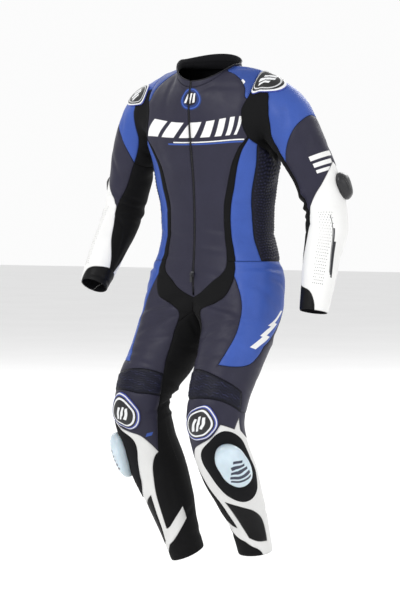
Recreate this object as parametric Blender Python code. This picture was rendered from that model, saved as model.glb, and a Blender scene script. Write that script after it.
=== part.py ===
"""One-piece leather motorcycle racing suit, standing in the shape it has when worn, with nobody in it.

Metres, +Z up. The suit faces -Y and its own left side is +X. The origin is the middle of the neck opening at
the height of the shoulder points, which is where a wearer's shoulders carry the suit.

Every leather panel is a thin wall cut from one of two charts. The trunk chart covers half of the body from the
collar to the ankle: "turn" goes round the body (0 centre front, 90 side, 180 centre back, 180 to 240 the inside
of the leg) and "level" goes down it in millimetres. The sleeve chart does the same for an arm.
"""

import math

import bmesh
import bpy
import numpy as np
from mathutils import Matrix, Vector
from mathutils.geometry import delaunay_2d_cdt

MM = 0.001

# ---------------------------------------------------------------- driving sizes, in millimetres
LEATHER = 1.6          # thickness of the cowhide panels
SEAM_GAP = 0.4         # clear space between two panels at a seam
CROTCH = 655           # level of the crotch seam
COLLAR_TOP = -40       # level of the collar's top edge
HEM = 1345             # level of the ankle hem

# ---------------------------------------------------------------- section tables
# The torso: half of a closed section, from centre front to centre back.
TORSO_COLUMNS = ("level", "half_width", "front", "back", "middle", "z_front", "z_side", "z_back", "square")
TORSO = (
    (-40, 92, -117, 54, -31, -17, 36, 62, 2.0),
    (-20, 88, -118, 56, -31, -30, 31, 48, 2.0),
    (0, 88, -122, 62, -31, -44, 26, 34, 2.0),
    (35, 120, -127, 84, -22, -76, 20, 4, 2.1),
    (70, 154, -126, 100, -12, -108, 12, -32, 2.2),
    (105, 184, -124, 108, -5, -140, -8, -68, 2.3),
    (150, 204, -119, 114, 0, -184, -72, -122, 2.4),
    (200, 202, -113, 117, 2, -228, -140, -178, 2.4),
    (250, 194, -108, 117, 4, -264, -214, -238, 2.3),
    (300, 184, -104, 114, 5, -304, -290, -298, 2.3),
    (360, 171, -101, 112, 6, -360, -358, -360, 2.2),
    (430, 168, -100, 114, 7, -430, -430, -430, 2.2),
    (480, 180, -102, 122, 8, -480, -480, -480, 2.2),
    (530, 197, -109, 126, 5, -530, -530, -530, 2.3),
    (580, 203, -118, 120, -1, -580, -580, -580, 2.3),
    (630, 203, -124, 112, -7, -630, -630, -630, 2.3),
    (700, 198, -122, 100, -10, -700, -700, -700, 2.4),
)

# The leg: a closed ring round its own centre. x is measured outwards from the body's middle.
LEG_COLUMNS = ("level", "x", "y", "z", "out", "inn", "front", "back", "square", "pitch", "roll")
LEG_TOP = (
    (480, 96, 4, -480, 98, 96, 112, 118, 2.5, 0, 0),
    (560, 98, -2, -560, 103, 98, 116, 118, 2.5, 0, 0),
    (620, 101, -12, -618, 102, 94, 112, 112, 2.5, 4, 0),
    (655, 103, -22, -650, 99, 92, 108, 106, 2.4, 8, 0),
)
LEG_LEFT = LEG_TOP + (
    (720, 105, -50, -708, 97, 92, 100, 94, 2.2, 16, 0),
    (800, 110, -94, -780, 89, 84, 92, 86, 2.1, 20, 0),
    (880, 112, -138, -857, 83, 78, 83, 80, 2.1, 14, 0),
    (950, 112, -157, -928, 78, 74, 80, 76, 2.1, -2, 0),
    (1020, 110, -135, -996, 74, 72, 74, 76, 2.1, -16, 0),
    (1100, 108, -94, -1068, 74, 72, 72, 78, 2.1, -24, 0),
    (1200, 106, -36, -1156, 64, 62, 60, 66, 2.1, -24, 0),
    (1280, 106, 10, -1230, 52, 50, 50, 54, 2.1, -18, 0),
    (1345, 106, 38, -1304, 45, 45, 46, 50, 2.1, -9, 0),
)
LEG_RIGHT = LEG_TOP + (
    (720, 112, -46, -710, 97, 92, 99, 94, 2.2, 14, 6),
    (800, 127, -84, -784, 89, 84, 91, 86, 2.1, 16, 8),
    (880, 146, -116, -846, 84, 78, 78, 80, 2.1, 10, 6),
    (950, 152, -130, -914, 78, 74, 80, 76, 2.1, -4, -2),
    (1020, 148, -116, -982, 74, 72, 74, 76, 2.1, -12, -8),
    (1100, 136, -90, -1060, 74, 72, 72, 78, 2.1, -15, -9),
    (1200, 116, -54, -1166, 64, 62, 60, 66, 2.1, -16, -9),
    (1280, 103, -30, -1248, 52, 50, 50, 54, 2.1, -16, -11),
    (1345, 92, -8, -1318, 45, 45, 45, 50, 2.1, -20, -14),
)
LEGS_START = 480       # level at which the torso's section begins to part into legs
LEGS_APART = 700       # level at which it has become two leg rings

# The sleeve: rings from the armhole to the cuff. lean is how far the ring's axis points down from sideways, and
# swing how far it points forwards, in degrees, and twist turns the cloth round the arm. z counts upwards.
SLEEVE_COLUMNS = ("level", "x", "y", "z", "out", "inn", "front", "back", "square", "lean", "swing", "twist")
SLEEVE_LEFT = (
    (0, 190, -2, -104, 90, 96, 72, 72, 2.0, 16, 0, 0),
    (50, 222, 0, -106, 80, 90, 74, 74, 2.0, 34, 0, 0),
    (110, 251, 4, -150, 71, 76, 72, 72, 2.0, 54, -3, 0),
    (180, 283, 18, -216, 65, 66, 69, 66, 2.0, 66, -8, 0),
    (250, 308, 38, -286, 60, 60, 64, 60, 2.0, 74, -8, 0),
    (320, 322, 54, -356, 58, 57, 62, 58, 2.0, 82, 2, 0),
    (380, 331, 48, -414, 60, 55, 58, 60, 2.0, 88, 14, 0),
    (460, 333, 24, -492, 50, 50, 50, 50, 2.0, 90, 16, 0),
    (530, 334, 4, -562, 44, 45, 44, 45, 2.0, 90, 16, 0),
    (605, 334, -17, -637, 38, 38, 38, 39, 2.0, 90, 12, 0),
)
SLEEVE_RIGHT = (
    (0, 190, -2, -104, 90, 96, 72, 72, 2.0, 16, 0, 0),
    (50, 222, -2, -104, 80, 90, 74, 74, 2.0, 34, 0, 3),
    (110, 251, -2, -148, 71, 76, 72, 72, 2.0, 54, 0, 8),
    (180, 281, 2, -214, 64, 66, 69, 66, 2.0, 68, -3, 12),
    (250, 305, 12, -284, 59, 60, 63, 60, 2.0, 74, -4, 6),
    (320, 325, 14, -352, 56, 57, 60, 58, 2.0, 82, 10, 0),
    (380, 333, -8, -408, 54, 55, 54, 56, 2.0, 88, 30, 0),
    (460, 334, -54, -474, 50, 50, 49, 50, 2.0, 90, 34, 0),
    (520, 334, -86, -524, 45, 46, 45, 46, 2.0, 90, 34, 0),
    (605, 333, -121, -577, 38, 38, 38, 38, 2.0, 90, 32, 0),
)
SLEEVE_HEAD = 95       # level by which the armhole's outline has become the sleeve's ring
CUFF = 605             # level of the sleeve's end

# The armhole on the trunk chart, by the angle round it: 0 its top, 90 its front, 180 its bottom. The rear half
# is the front half mirrored.
ARMHOLE_COLUMNS = ("angle", "ahead", "level")
ARMHOLE = (
    (0, 0, 74),
    (20, 14, 84),
    (40, 30, 100),
    (65, 44, 117),
    (90, 47, 142),
    (115, 42, 180),
    (145, 26, 222),
    (180, 0, 262),
)
ARMHOLE_TURN = 92       # turn of its top and bottom
ARMHOLE_STATIONS = 24   # straight runs round the armhole, shared by both charts

COLLAR_LEAN = 0.10      # how much lower the collar's top stands towards the suit's left
# The suit's right arm reaches forwards and takes the chest beside the armhole with it.
REACH = {"out": 17, "turn": 60, "level": 140, "round": 26, "along": 78}

AROUND = {"trunk": 240, "sleeve": 360}      # turn at which a chart comes round to 0 again


def table(columns, rows):
    """The rows of a table as dictionaries of its columns."""
    return [dict(zip(columns, row)) for row in rows]


def monotone_slopes(x, y):
    """Slopes of a monotone cubic through the rows: flat rows stay flat, and nothing overshoots."""
    step = np.diff(x)[:, None]
    rise = np.diff(y, axis=0) / step
    slope = np.zeros_like(y)
    slope[0] = rise[0]
    slope[-1] = rise[-1]
    before, after = rise[:-1], rise[1:]
    w1 = 2 * step[1:] + step[:-1]
    w2 = step[1:] + 2 * step[:-1]
    same = before * after > 0
    mean = (w1 + w2) / (w1 / np.where(same, before, 1) + w2 / np.where(same, after, 1))
    slope[1:-1] = np.where(same, mean, 0)
    return slope


class Sections:
    """A table of sections, read as smooth curves of its first column."""

    def __init__(self, columns, rows):
        table = np.array(rows, float)
        self.columns = columns[1:]
        self.at = table[:, 0]
        self.values = table[:, 1:]
        self.slopes = monotone_slopes(self.at, self.values)

    def read(self, level):
        """The columns at this level, as a dictionary of arrays."""
        level = np.clip(np.asarray(level, float), self.at[0], self.at[-1])
        row = np.clip(np.searchsorted(self.at, level, side="right") - 1, 0, len(self.at) - 2)
        width = (self.at[row + 1] - self.at[row])[..., None]
        t = (level[..., None] - self.at[row][..., None]) / width
        a, b = self.values[row], self.values[row + 1]
        m, n = self.slopes[row] * width, self.slopes[row + 1] * width
        got = (
            a * (1 + 2 * t) * (1 - t) ** 2
            + m * t * (1 - t) ** 2
            + b * t * t * (3 - 2 * t)
            - n * t * t * (1 - t)
        )
        return {name: got[..., i] for i, name in enumerate(self.columns)}


def smooth(t):
    """0 to 1 with no slope at either end."""
    t = np.clip(t, 0, 1)
    return t * t * (3 - 2 * t)


def rounded(angle, square):
    """(sideways, forwards) of a unit superellipse at this angle: 0 is forwards, 90 is sideways."""
    s, c = np.sin(np.radians(angle)), np.cos(np.radians(angle))
    return np.sign(s) * np.abs(s) ** (2 / square), np.sign(c) * np.abs(c) ** (2 / square)


TORSO_SECTIONS = Sections(TORSO_COLUMNS, TORSO)
LEG_SECTIONS = {1: Sections(LEG_COLUMNS, LEG_LEFT), -1: Sections(LEG_COLUMNS, LEG_RIGHT)}
ARMHOLE_CURVE = Sections(ARMHOLE_COLUMNS, ARMHOLE)
SLEEVE_SECTIONS = {1: Sections(SLEEVE_COLUMNS, SLEEVE_LEFT), -1: Sections(SLEEVE_COLUMNS, SLEEVE_RIGHT)}


def torso_points(turn, level):
    """Points of the torso's outer skin for turn 0 to 180; past 180 they lie on the middle plane."""
    row = TORSO_SECTIONS.read(level)
    outer = np.clip(turn, 0, 180)
    side, ahead = rounded(outer, row["square"])
    depth = np.where(ahead > 0, row["middle"] - row["front"], row["back"] - row["middle"])
    y = row["middle"] - ahead * depth
    slope = np.abs(ahead) ** 1.5
    z_end = np.where(ahead > 0, row["z_front"], row["z_back"])
    z = row["z_side"] + (z_end - row["z_side"]) * slope
    inner = smooth((turn - 180) / 60)
    y = np.where(turn > 180, row["back"] + (row["front"] - row["back"]) * inner, y)
    return np.stack([row["half_width"] * side * (turn <= 180), y, z], -1)


def leg_points(side, turn, level):
    row = LEG_SECTIONS[side].read(level)
    angle = turn * 1.5 - 45
    across, ahead = rounded(angle, row["square"])
    across = across * np.where(across > 0, row["out"], row["inn"])
    ahead = ahead * np.where(ahead > 0, row["front"], row["back"])
    pitch, roll = np.radians(row["pitch"]), np.radians(row["roll"])
    x = row["x"] + across * np.cos(roll)
    y = row["y"] - ahead * np.cos(pitch)
    z = row["z"] + across * np.sin(roll) + ahead * np.sin(pitch)
    return np.stack([x, y, z], -1)


def trunk_points(side, turn, level):
    """Outer skin of one half of the body, in metres. side is 1 for the suit's left and -1 for its right."""
    turn, level = np.broadcast_arrays(np.asarray(turn, float) % AROUND["trunk"], np.asarray(level, float))
    torso = torso_points(turn, level)
    leg = leg_points(side, turn, np.maximum(level, LEGS_START))
    part = smooth((level - LEGS_START) / (LEGS_APART - LEGS_START))
    point = torso + (leg - torso) * part[..., None]
    # Down to the crotch both halves meet on the middle plane.
    edge = np.where(turn > 90, 180.0, 0.0)
    edge_x = np.where(turn > 180, leg[..., 0], leg_points(side, edge, np.maximum(level, LEGS_START))[..., 0])
    near = np.where(turn > 180, 1, smooth(1 - np.minimum(turn, np.abs(180 - turn)) / 45))
    hold = np.clip(1 - (level - CROTCH) / 70, 0, 1) ** 1.5
    point[..., 0] -= part * edge_x * near * hold
    # The crotch seam hangs in a curve between front and back.
    sag = 34 * np.sin(3 * np.radians(np.clip(turn - 180, 0, 60))) * part * (1 - smooth((level - CROTCH) / 160))
    point[..., 2] -= np.where(turn > 180, sag, 0)
    point[..., 0] *= side
    lean = COLLAR_LEAN * smooth((30 - level) / 70)
    point[..., 2] -= point[..., 0] * lean
    if side < 0:
        u = (turn - REACH["turn"]) / REACH["round"]
        v = (level - REACH["level"]) / REACH["along"]
        push = REACH["out"] * np.exp(-u * u - v * v)
        point[..., 0] -= push * 0.8
        point[..., 1] -= push * 0.6
    return point * MM


def armhole(angle):
    """(turn, level) of the armhole at this angle round it."""
    angle = np.asarray(angle, float) % 360
    row = ARMHOLE_CURVE.read(np.where(angle > 180, 360 - angle, angle))
    return ARMHOLE_TURN - np.where(angle > 180, -1, 1) * row["ahead"], row["level"]


def sleeve_points(side, turn, level):
    """Outer skin of one sleeve, in metres. turn 0 is the outside of the arm, 90 its front, 180 its inside."""
    turn, level = np.broadcast_arrays(np.asarray(turn, float) % 360, np.asarray(level, float))
    row = SLEEVE_SECTIONS[side].read(level)
    ahead, out = rounded(turn + row["twist"], row["square"])
    out = out * np.where(out > 0, row["out"], row["inn"])
    ahead = ahead * np.where(ahead > 0, row["front"], row["back"])
    lean, swing = np.radians(row["lean"]), np.radians(row["swing"])
    down = np.stack([np.cos(lean) * np.cos(swing), -np.sin(swing), -np.sin(lean) * np.cos(swing)], -1)
    outward = np.stack([np.sin(lean), np.zeros_like(lean), np.cos(lean)], -1)
    forward = np.cross(down, outward)
    forward *= -np.sign(forward[..., 1:2])
    centre = np.stack([row["x"], row["y"], row["z"]], -1)
    ring = centre + out[..., None] * outward + ahead[..., None] * forward
    ring[..., 0] *= side
    ease = smooth(level / SLEEVE_HEAD)[..., None]
    hole = armhole_points(side, turn) / MM
    return (hole + (ring - hole) * ease) * MM


def armhole_points(side, angle):
    """Points on the armhole's outline, which runs straight from one station to the next."""
    station = np.asarray(angle, float) * ARMHOLE_STATIONS / 360
    before = np.floor(station + 1e-6)
    part = np.clip(station - before, 0, 1)[..., None]
    a = trunk_points(side, *armhole(before * 360 / ARMHOLE_STATIONS))
    b = trunk_points(side, *armhole((before + 1) * 360 / ARMHOLE_STATIONS))
    return a + (b - a) * part


# The largest folds: where, how long and wide in mm, the angle its length lies at (0 round the body, 90 along
# it) and how far it stands out, negative for a trough.
FOLDS = table(("chart", "turn", "level", "along", "across", "lie", "depth"), (
    ("trunk", 22, 622, 46, 15, 38, -4.5),
    ("trunk", 30, 662, 60, 16, 30, 4.0),
    ("trunk", 150, 650, 60, 16, -28, -4.0),
    ("trunk", 120, 512, 55, 15, 10, -4.0),
    ("trunk", 150, 470, 60, 16, 14, 4.0),
    ("trunk", 182, 905, 70, 14, 8, -5.0),
    ("trunk", 184, 940, 70, 14, -6, -4.0),
    ("trunk", 104, 300, 50, 15, -30, -3.5),
    ("trunk", 140, 330, 70, 18, 22, -3.5),
    ("sleeve", 150, 305, 44, 11, 12, -4.0),
    ("sleeve", 150, 335, 44, 11, -8, -4.0),
    ("sleeve", 118, 276, 40, 12, 22, 3.0),
    ("sleeve", 205, 215, 44, 13, -20, -3.5),
))
TURN_MM = {"trunk": 2.1, "sleeve": 1.0}     # millimetres along the skin to one degree of turn
WRAP = {"trunk": (-30, 210), "sleeve": (-90, 270)}


def fold_height(chart, turn, level):
    """How far the folds move the skin outwards, in metres."""
    low, high = WRAP[chart]
    turn = (turn - low) % AROUND[chart] + low
    height = np.zeros(np.shape(turn))
    for fold in FOLDS:
        if fold["chart"] != chart:
            continue
        a = math.radians(fold["lie"])
        x = (turn - fold["turn"]) * TURN_MM[chart]
        y = level - fold["level"]
        u = (x * math.cos(a) + y * math.sin(a)) / fold["along"]
        v = (y * math.cos(a) - x * math.sin(a)) / fold["across"]
        height = height + fold["depth"] * MM * np.exp(-u * u - v * v)
    return height


BARE = {"trunk": trunk_points, "sleeve": sleeve_points}
FACING = {"trunk": -1, "sleeve": 1}         # which way round a chart the turn and level run


def bare_normals(chart, side, turn, level):
    """Unit normals of a chart's skin before its folds, pointing out of the suit."""
    turn, level = np.broadcast_arrays(np.asarray(turn, float), np.asarray(level, float))
    points_of = BARE[chart]
    before, after = turn - 0.5, turn + 0.5
    on_torso = (chart == "trunk") & (level <= CROTCH) & (turn >= 0) & (turn <= 180)
    middle = on_torso & ((turn < 0.01) | (turn > 179.99))
    before = np.where(on_torso, np.maximum(before, 0.0), before)
    after = np.where(on_torso, np.minimum(after, 180.0), after)
    above = np.where((level > CROTCH) | (chart == "sleeve"), np.maximum(level - 1, 0), level - 1)
    above = np.where((chart == "trunk") & (level >= CROTCH), np.maximum(level - 1, CROTCH), above)
    along = points_of(side, after, level) - points_of(side, before, level)
    down = points_of(side, turn, level + 1) - points_of(side, turn, above)
    normal = np.cross(along, down) * FACING[chart] * side
    normal[..., 0] = np.where(middle, 0, normal[..., 0])
    return normal / np.maximum(np.linalg.norm(normal, axis=-1, keepdims=True), 1e-12)


def skin_points(chart, side, turn, level):
    """Outer skin with its folds, in metres."""
    raised = fold_height(chart, turn, level)[..., None]
    return BARE[chart](side, turn, level) + bare_normals(chart, side, turn, level) * raised


def armhole_normals(side, angle):
    """Normals along the armhole, half way between the trunk's and the sleeve's."""
    step = 360 / ARMHOLE_STATIONS
    before = np.floor(np.asarray(angle, float) / step + 1e-6)
    part = np.clip(angle / step - before, 0, 1)[..., None]
    ends = []
    for at in (before * step, (before + 1) * step):
        trunk = bare_normals("trunk", side, *armhole(at))
        ends.append(trunk + bare_normals("sleeve", side, at, np.zeros(np.shape(at))))
    both = ends[0] + (ends[1] - ends[0]) * part
    return both / np.maximum(np.linalg.norm(both, axis=-1, keepdims=True), 1e-12)


def on_armhole(turn, level):
    """(angle, distance) of trunk chart points from the armhole's outline, in degrees and chart millimetres."""
    step = 360 / ARMHOLE_STATIONS
    angles = np.arange(0, 360, step)
    t, v = armhole(angles)
    a = np.stack([t * TURN_MM["trunk"], v], -1)
    run = np.roll(a, -1, axis=0) - a
    away = np.stack([turn * TURN_MM["trunk"], level], -1)[..., None, :] - a
    part = np.clip((away * run).sum(-1) / (run ** 2).sum(-1), 0, 1)
    gap = np.linalg.norm(away - run * part[..., None], axis=-1)
    best = gap.argmin(-1)
    part = np.take_along_axis(part, best[..., None], -1)[..., 0]
    return (best + part) * step, gap.min(-1)


# ---------------------------------------------------------------- seams
# Every seam is a smooth curve through the rows of a short table of (turn, level). A panel is the region inside
# the seams and corners that follow one another round it, and a panel lies over the ones before it in its list.
TRUNK_SEAMS = {
    "yoke_front": ((71, -14), (70, 16), (66, 54), (61, 82), (56, 98), (60, 116)),
    "yoke_back": ((112, -14), (114, 16), (120, 54), (125, 84), (122, 112)),
    "chest_side": ((58, 156), (50, 180), (41, 194), (36, 220), (32, 276), (30, 336), (30, 395), (31, 440),
                   (31, 490), (28, 530), (20, 556), (9, 590), (0, 606)),
    "strip_side": ((62, 150), (52, 184), (44, 206), (40, 250), (38, 318), (37, 388), (38, 430), (39, 475),
                   (39, 504)),
    "blue_side": ((74, 150), (62, 206), (62, 256), (60, 312), (63, 372), (66, 434), (68, 474), (70, 504)),
    "flank_back": ((126, 190), (124, 290), (120, 400), (118, 504)),
    "crotch_front": ((38, 504), (37, 556), (31, 608), (20, 636), (12, 666), (7, 694)),
    "hip_front": ((38, 504), (37, 536), (42, 566), (48, 602), (53, 662), (54, 724), (51, 772), (44, 826)),
    "hip_foot": ((44, 826), (63, 823), (78, 811), (87, 790), (92, 745)),
    "hip_back": ((92, 745), (106, 690), (115, 620), (117, 560), (116, 504)),
    "seat_foot": ((110, 676), (136, 690), (162, 676), (180, 655)),
    "leg_front": ((7, 694), (4, 720), (1, 760), (-3, 806), (-12, 864), (-19, 926), (-15, 990), (-5, 1062)),
    "leg_back": ((180, 655), (185, 720), (187, 850), (186, 960), (176, 1020), (152, 1070), (146, 1200),
                 (148, 1345)),
    "ribs_top": ((-16, 842), (0, 838), (14, 838), (28, 842), (42, 850), (56, 858), (70, 866), (84, 876)),
    "ribs_side": ((84, 876), (88, 900), (90, 924)),
    "ribs_foot": ((90, 924), (76, 913), (60, 905), (46, 902), (31, 902), (16, 904), (0, 903), (-22, 906)),
    "knee_back": ((90, 924), (130, 934), (192, 938)),
    "shin_top": ((-5, 1062), (3, 1034), (14, 1009), (30, 994), (48, 978), (61, 953)),
    "shin_spike": ((61, 953), (71, 959), (82, 968)),
    "shin_outer": ((93, 975), (108, 1004), (130, 1034), (170, 1080)),
    "shin_inner": ((-5, 1062), (2, 1070), (10, 1092), (17, 1130), (24, 1172), (28, 1222), (30, 1262)),
    "flash_top": ((30, 1262), (22, 1258), (4, 1236), (-14, 1214)),
    "flash_foot": ((-18, 1250), (-6, 1264), (6, 1278), (22, 1294), (38, 1305)),
    "hem_top": ((38, 1305), (50, 1318), (62, 1327), (70, 1336), (73, 1345)),
    "lower_side": ((33, 1167), (53, 1187), (74, 1215), (87, 1252), (90, 1286), (91, 1314)),
    "lower_foot": ((91, 1314), (64, 1306), (48, 1294)),
    "lower_inner": ((48, 1294), (42, 1262), (39, 1222), (36, 1190), (33, 1167)),
}
TRUNK_PANELS = (
    ("thigh", ((-30, CROTCH), (0, CROTCH), (0, COLLAR_TOP), (180, COLLAR_TOP), (180, CROTCH), (210, CROTCH),
               (210, HEM), (-30, HEM))),
    ("flank", ((30, 90), (140, 90), (126, 190), "flank_back", (30, 504))),
    ("back", ((112, -14), (180, -14), (180, 504), "-flank_back", (116, 150), (112, 90))),
    ("side_strip", ((0, 150), "blue_side", (0, 504))),
    ("strip", ((0, 150), "strip_side", (0, 504))),
    ("seat", ((100, 504), (180, 504), "-seat_foot", (100, 676))),
    ("hip", ("hip_front", "hip_foot", "hip_back")),
    ("crotch", ((0, 504), "crotch_front", (0, 655))),
    ("front", ((0, -14), "yoke_front", "chest_side")),
    ("yoke", ("yoke_front", (66, 150), (120, 150), "-yoke_back")),
    ("collar", ((0, COLLAR_TOP), (180, COLLAR_TOP), (180, -14), (0, -14))),
    ("knee", ((-30, 885), (60, 885), "knee_back", (192, 1100), (-30, 1100))),
    ("ribs", ("ribs_top", "ribs_side", "ribs_foot")),
    ("shin", ("shin_top", "shin_spike", (90, 940), "shin_outer", (170, 1345), (73, 1345), "-hem_top",
              "-flash_foot", "-flash_top", "-shin_inner")),
    ("inner_leg", ("leg_front", "shin_inner", "flash_top", "flash_foot", "hem_top", (-30, 1345), (-30, 655),
                   (0, 655))),
    ("inner_leg", ("leg_back", (210, 1345), (210, 655))),
    ("shin_lower", ("lower_side", "lower_foot", "lower_inner")),
)
SLEEVE_SEAMS = {
    "head": tuple((turn, 0) for turn in range(-90, 271, 360 // ARMHOLE_STATIONS)),
    "stretch_edge": ((32, 0), (37, 46), (62, 62), (90, 76), (110, 100), (118, 137), (118, 184)),
    "cap_foot": ((118, 184), (98, 160), (78, 142), (56, 128), (30, 119), (0, 114), (-30, 119), (-56, 128),
                 (-78, 146), (-90, 154)),
    "cap_foot_back": ((270, 154), (258, 166), (238, 184)),
    "stretch_back": ((238, 184), (237, 90), (232, 0)),
    "stretch_foot": ((118, 184), (150, 190), (205, 190), (238, 184)),
    "elbow_back": ((-90, 296), (-60, 266), (-36, 238), (-10, 221)),
    "elbow_front": ((-10, 221), (20, 240), (50, 266), (78, 294), (100, 332), (108, 362)),
    "elbow_behind": ((252, 362), (260, 332), (270, 296)),
    "inner_front": ((118, 184), (117, 220), (115, 277), (107, 335), (108, 366), (117, 405), (132, 457),
                    (156, 506), (170, 550)),
    "inner_back": ((190, 550), (204, 506), (228, 457), (243, 405), (252, 366), (253, 335), (245, 277),
                   (243, 220), (238, 184)),
    "cuff_front": ((54, 605), (60, 586), (80, 562), (130, 546), (180, 534), (230, 546), (270, 559)),
    "cuff_back": ((-90, 559), (-80, 562), (-60, 586), (-54, 605)),
}
SLEEVE_PANELS = (
    ("forearm", ("head", (270, CUFF), (-90, CUFF))),
    ("upper_arm", ((-90, 0), "elbow_back", "elbow_front", "elbow_behind", (270, 0))),
    ("stretch", ("stretch_edge", "stretch_foot", "stretch_back")),
    ("cap", ((-90, 0), "stretch_edge", "cap_foot")),
    ("cap", ((270, 0), "cap_foot_back", "stretch_back")),
    ("inner_sleeve", ("inner_front", "inner_back", "-stretch_foot")),
    ("cuff", ("cuff_front", (270, 605))),
    ("cuff", ("cuff_back", (-90, 605))),
)
SEAMS = {"trunk": TRUNK_SEAMS, "sleeve": SLEEVE_SEAMS}
PANELS = {"trunk": TRUNK_PANELS, "sleeve": SLEEVE_PANELS}
ACROSS_MIDDLE = ("back", "seat", "crotch", "collar", "collar_lining")   # one piece for both halves
SEAM_STEP = 26         # spacing of points along a seam
GRID = 39              # spacing of points inside a panel
INSIDE_GRID = 26       # spacing of points on the plain inside of a ribbed panel
ZIP_HALF = 4.5         # half the width of the zip that shows between the front panels
ZIP_FOOT = 600         # level of the zip's lower end
LINING_LEVELS = (-37, 12)
LINING_FROM = 9        # turn at which the collar's lining begins beside the zip
LINING_GAP = 0.45      # clear space between the collar and its lining
LINING = 1.2           # thickness of the lining

# Panels whose outer face is ribbed round the body: the pitch and height of the ribs in mm, the level of the
# first crest and of the last, the chart's turn between points along a rib and how far in from the panel's edge
# the ribs reach their full height, and how far they drop round the outer side.
RIBS = table(("panel", "pitch", "height", "first", "last", "low", "high", "step", "fade", "drop"), (
    ("ribs", 9.0, 2.6, 849, 903, -16, 88, 10.0, 9, 34),
    ("flank", 12.0, 1.8, 262, 494, 62, 122, 14.0, 9, 0),
))
RIBS_BEND = (14, 74)     # turn at which the ribs start to drop, and how far round they drop

# Pieces lying on the panels. reach is how far the outline lies from the middle, in mm, at every 30 degrees from
# straight up the chart round by higher turns. They stand on the panel's own points, base mm above it, and rise
# from the rim to the crown. A half of 1 is the left alone, -1 the right.
PAD_GAP = 0.35
PAD_RINGS = ((0.0, 1), (0.6, 9))     # points inside a domed pad: how far out, how many
PADS = table(("name", "half", "chart", "turn", "level", "base", "rim", "crown", "reach"), (
    ("knee_cup", 1, "trunk", 33, 950, PAD_GAP, 3.0, 10.0, (33, 40, 45, 52, 41, 35, 34, 41, 50, 48, 39, 32)),
    ("knee_cup", -1, "trunk", 33, 950, PAD_GAP, 3.0, 10.0, (40, 48, 50, 47, 36, 30, 31, 44, 53, 52, 40, 36)),
    ("slider_patch", 0, "trunk", 65.7, 1072, PAD_GAP, 1.8, 1.8,
     (104, 94, 77, 72, 86, 106, 104, 88, 74, 76, 99, 96)),
    ("knee_slider", 0, "trunk", 66.2, 1057, 2 * PAD_GAP + 1.8, 12.0, 31.0,
     (60, 52, 43, 43, 50, 62, 61, 49, 41, 40, 50, 61)),
    ("shoulder_cup", 1, "sleeve", 20, 36, PAD_GAP, 2.5, 7.5, (25, 31, 26, 20, 22, 27, 28, 28, 27, 22, 22, 23)),
    ("shoulder_cup", -1, "sleeve", 37, 51, PAD_GAP, 2.5, 7.5, (23, 21, 20, 20, 22, 24, 24, 23, 21, 19, 19, 22)),
    ("elbow_slider", 0, "sleeve", -22, 282, PAD_GAP, 12.0, 26.0,
     (33, 35, 34, 29, 29, 29, 29, 31, 33, 31, 34, 35)),
))


def flat(chart, point):
    """A chart point as flat millimetres."""
    return (point[0] * TURN_MM[chart], point[1])


def smooth_path(points, step):
    """A smooth curve through flat points, with points no further apart than step."""
    p = np.array(points, float)
    if len(p) == 2:
        count = max(1, math.ceil(np.linalg.norm(p[1] - p[0]) / step))
        return [tuple(p[0] + (p[1] - p[0]) * i / count) for i in range(count + 1)]
    chord = np.maximum(np.linalg.norm(np.diff(p, axis=0), axis=1), 1e-9)
    knots = np.concatenate([[0], np.cumsum(np.sqrt(chord))])
    slope = np.zeros_like(p)
    for i in range(1, len(p) - 1):
        a, b = knots[i] - knots[i - 1], knots[i + 1] - knots[i]
        before, after = (p[i] - p[i - 1]) / a, (p[i + 1] - p[i]) / b
        slope[i] = (before * b + after * a) / (a + b)
    slope[0] = 1.5 * (p[1] - p[0]) / (knots[1] - knots[0]) - 0.5 * slope[1]
    slope[-1] = 1.5 * (p[-1] - p[-2]) / (knots[-1] - knots[-2]) - 0.5 * slope[-2]
    path = [tuple(p[0])]
    for i in range(len(p) - 1):
        h = knots[i + 1] - knots[i]
        count = max(1, math.ceil(chord[i] / step))
        for k in range(1, count + 1):
            t = k / count
            at = (
                p[i] * (1 + 2 * t) * (1 - t) ** 2
                + slope[i] * h * t * (1 - t) ** 2
                + p[i + 1] * t * t * (3 - 2 * t)
                - slope[i + 1] * h * t * t * (1 - t)
            )
            path.append(tuple(at))
    return path


def outline(chart, items):
    """The closed outline of a panel, in flat millimetres."""
    path = []
    corner = None
    for item in items:
        if isinstance(item, str):
            rows = SEAMS[chart][item.lstrip("-")]
            curve = smooth_path([flat(chart, row) for row in rows], SEAM_STEP)
            piece = curve[::-1] if item.startswith("-") else curve
        else:
            piece = [flat(chart, item)]
        if corner is not None:
            path += smooth_path([corner, piece[0]], SEAM_STEP)[1:-1]
        if path and np.hypot(path[-1][0] - piece[0][0], path[-1][1] - piece[0][1]) < 0.01:
            piece = piece[1:]
        path += piece
        corner = path[-1]
    if np.hypot(path[-1][0] - path[0][0], path[-1][1] - path[0][1]) < 0.01:
        path = path[:-1]
    path += smooth_path([path[-1], path[0]], SEAM_STEP)[1:-1]
    return path


def pad_reach(pad, angle):
    """How far a pad's outline lies from its middle at an angle from straight up the chart."""
    reach = np.array(pad["reach"], float)
    at = np.asarray(angle, float) % 360 * len(reach) / 360
    row = np.floor(at).astype(int)
    t = at - row
    a, b, c, d = (reach[(row + k) % len(reach)] for k in (-1, 0, 1, 2))
    return b + 0.5 * t * (c - a + t * (2 * a - 5 * b + 4 * c - d + t * (3 * (b - c) + d - a)))


def pad_ring(pad, radius, angles):
    """Flat points round a piece lying on a panel; radius 1 is its outline."""
    x, y = flat(pad["chart"], (pad["turn"], pad["level"]))
    path = []
    for angle in angles:
        r, a = float(pad_reach(pad, angle)) * radius, math.radians(angle)
        path.append((x + r * math.sin(a), y - r * math.cos(a)))
    return path


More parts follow.
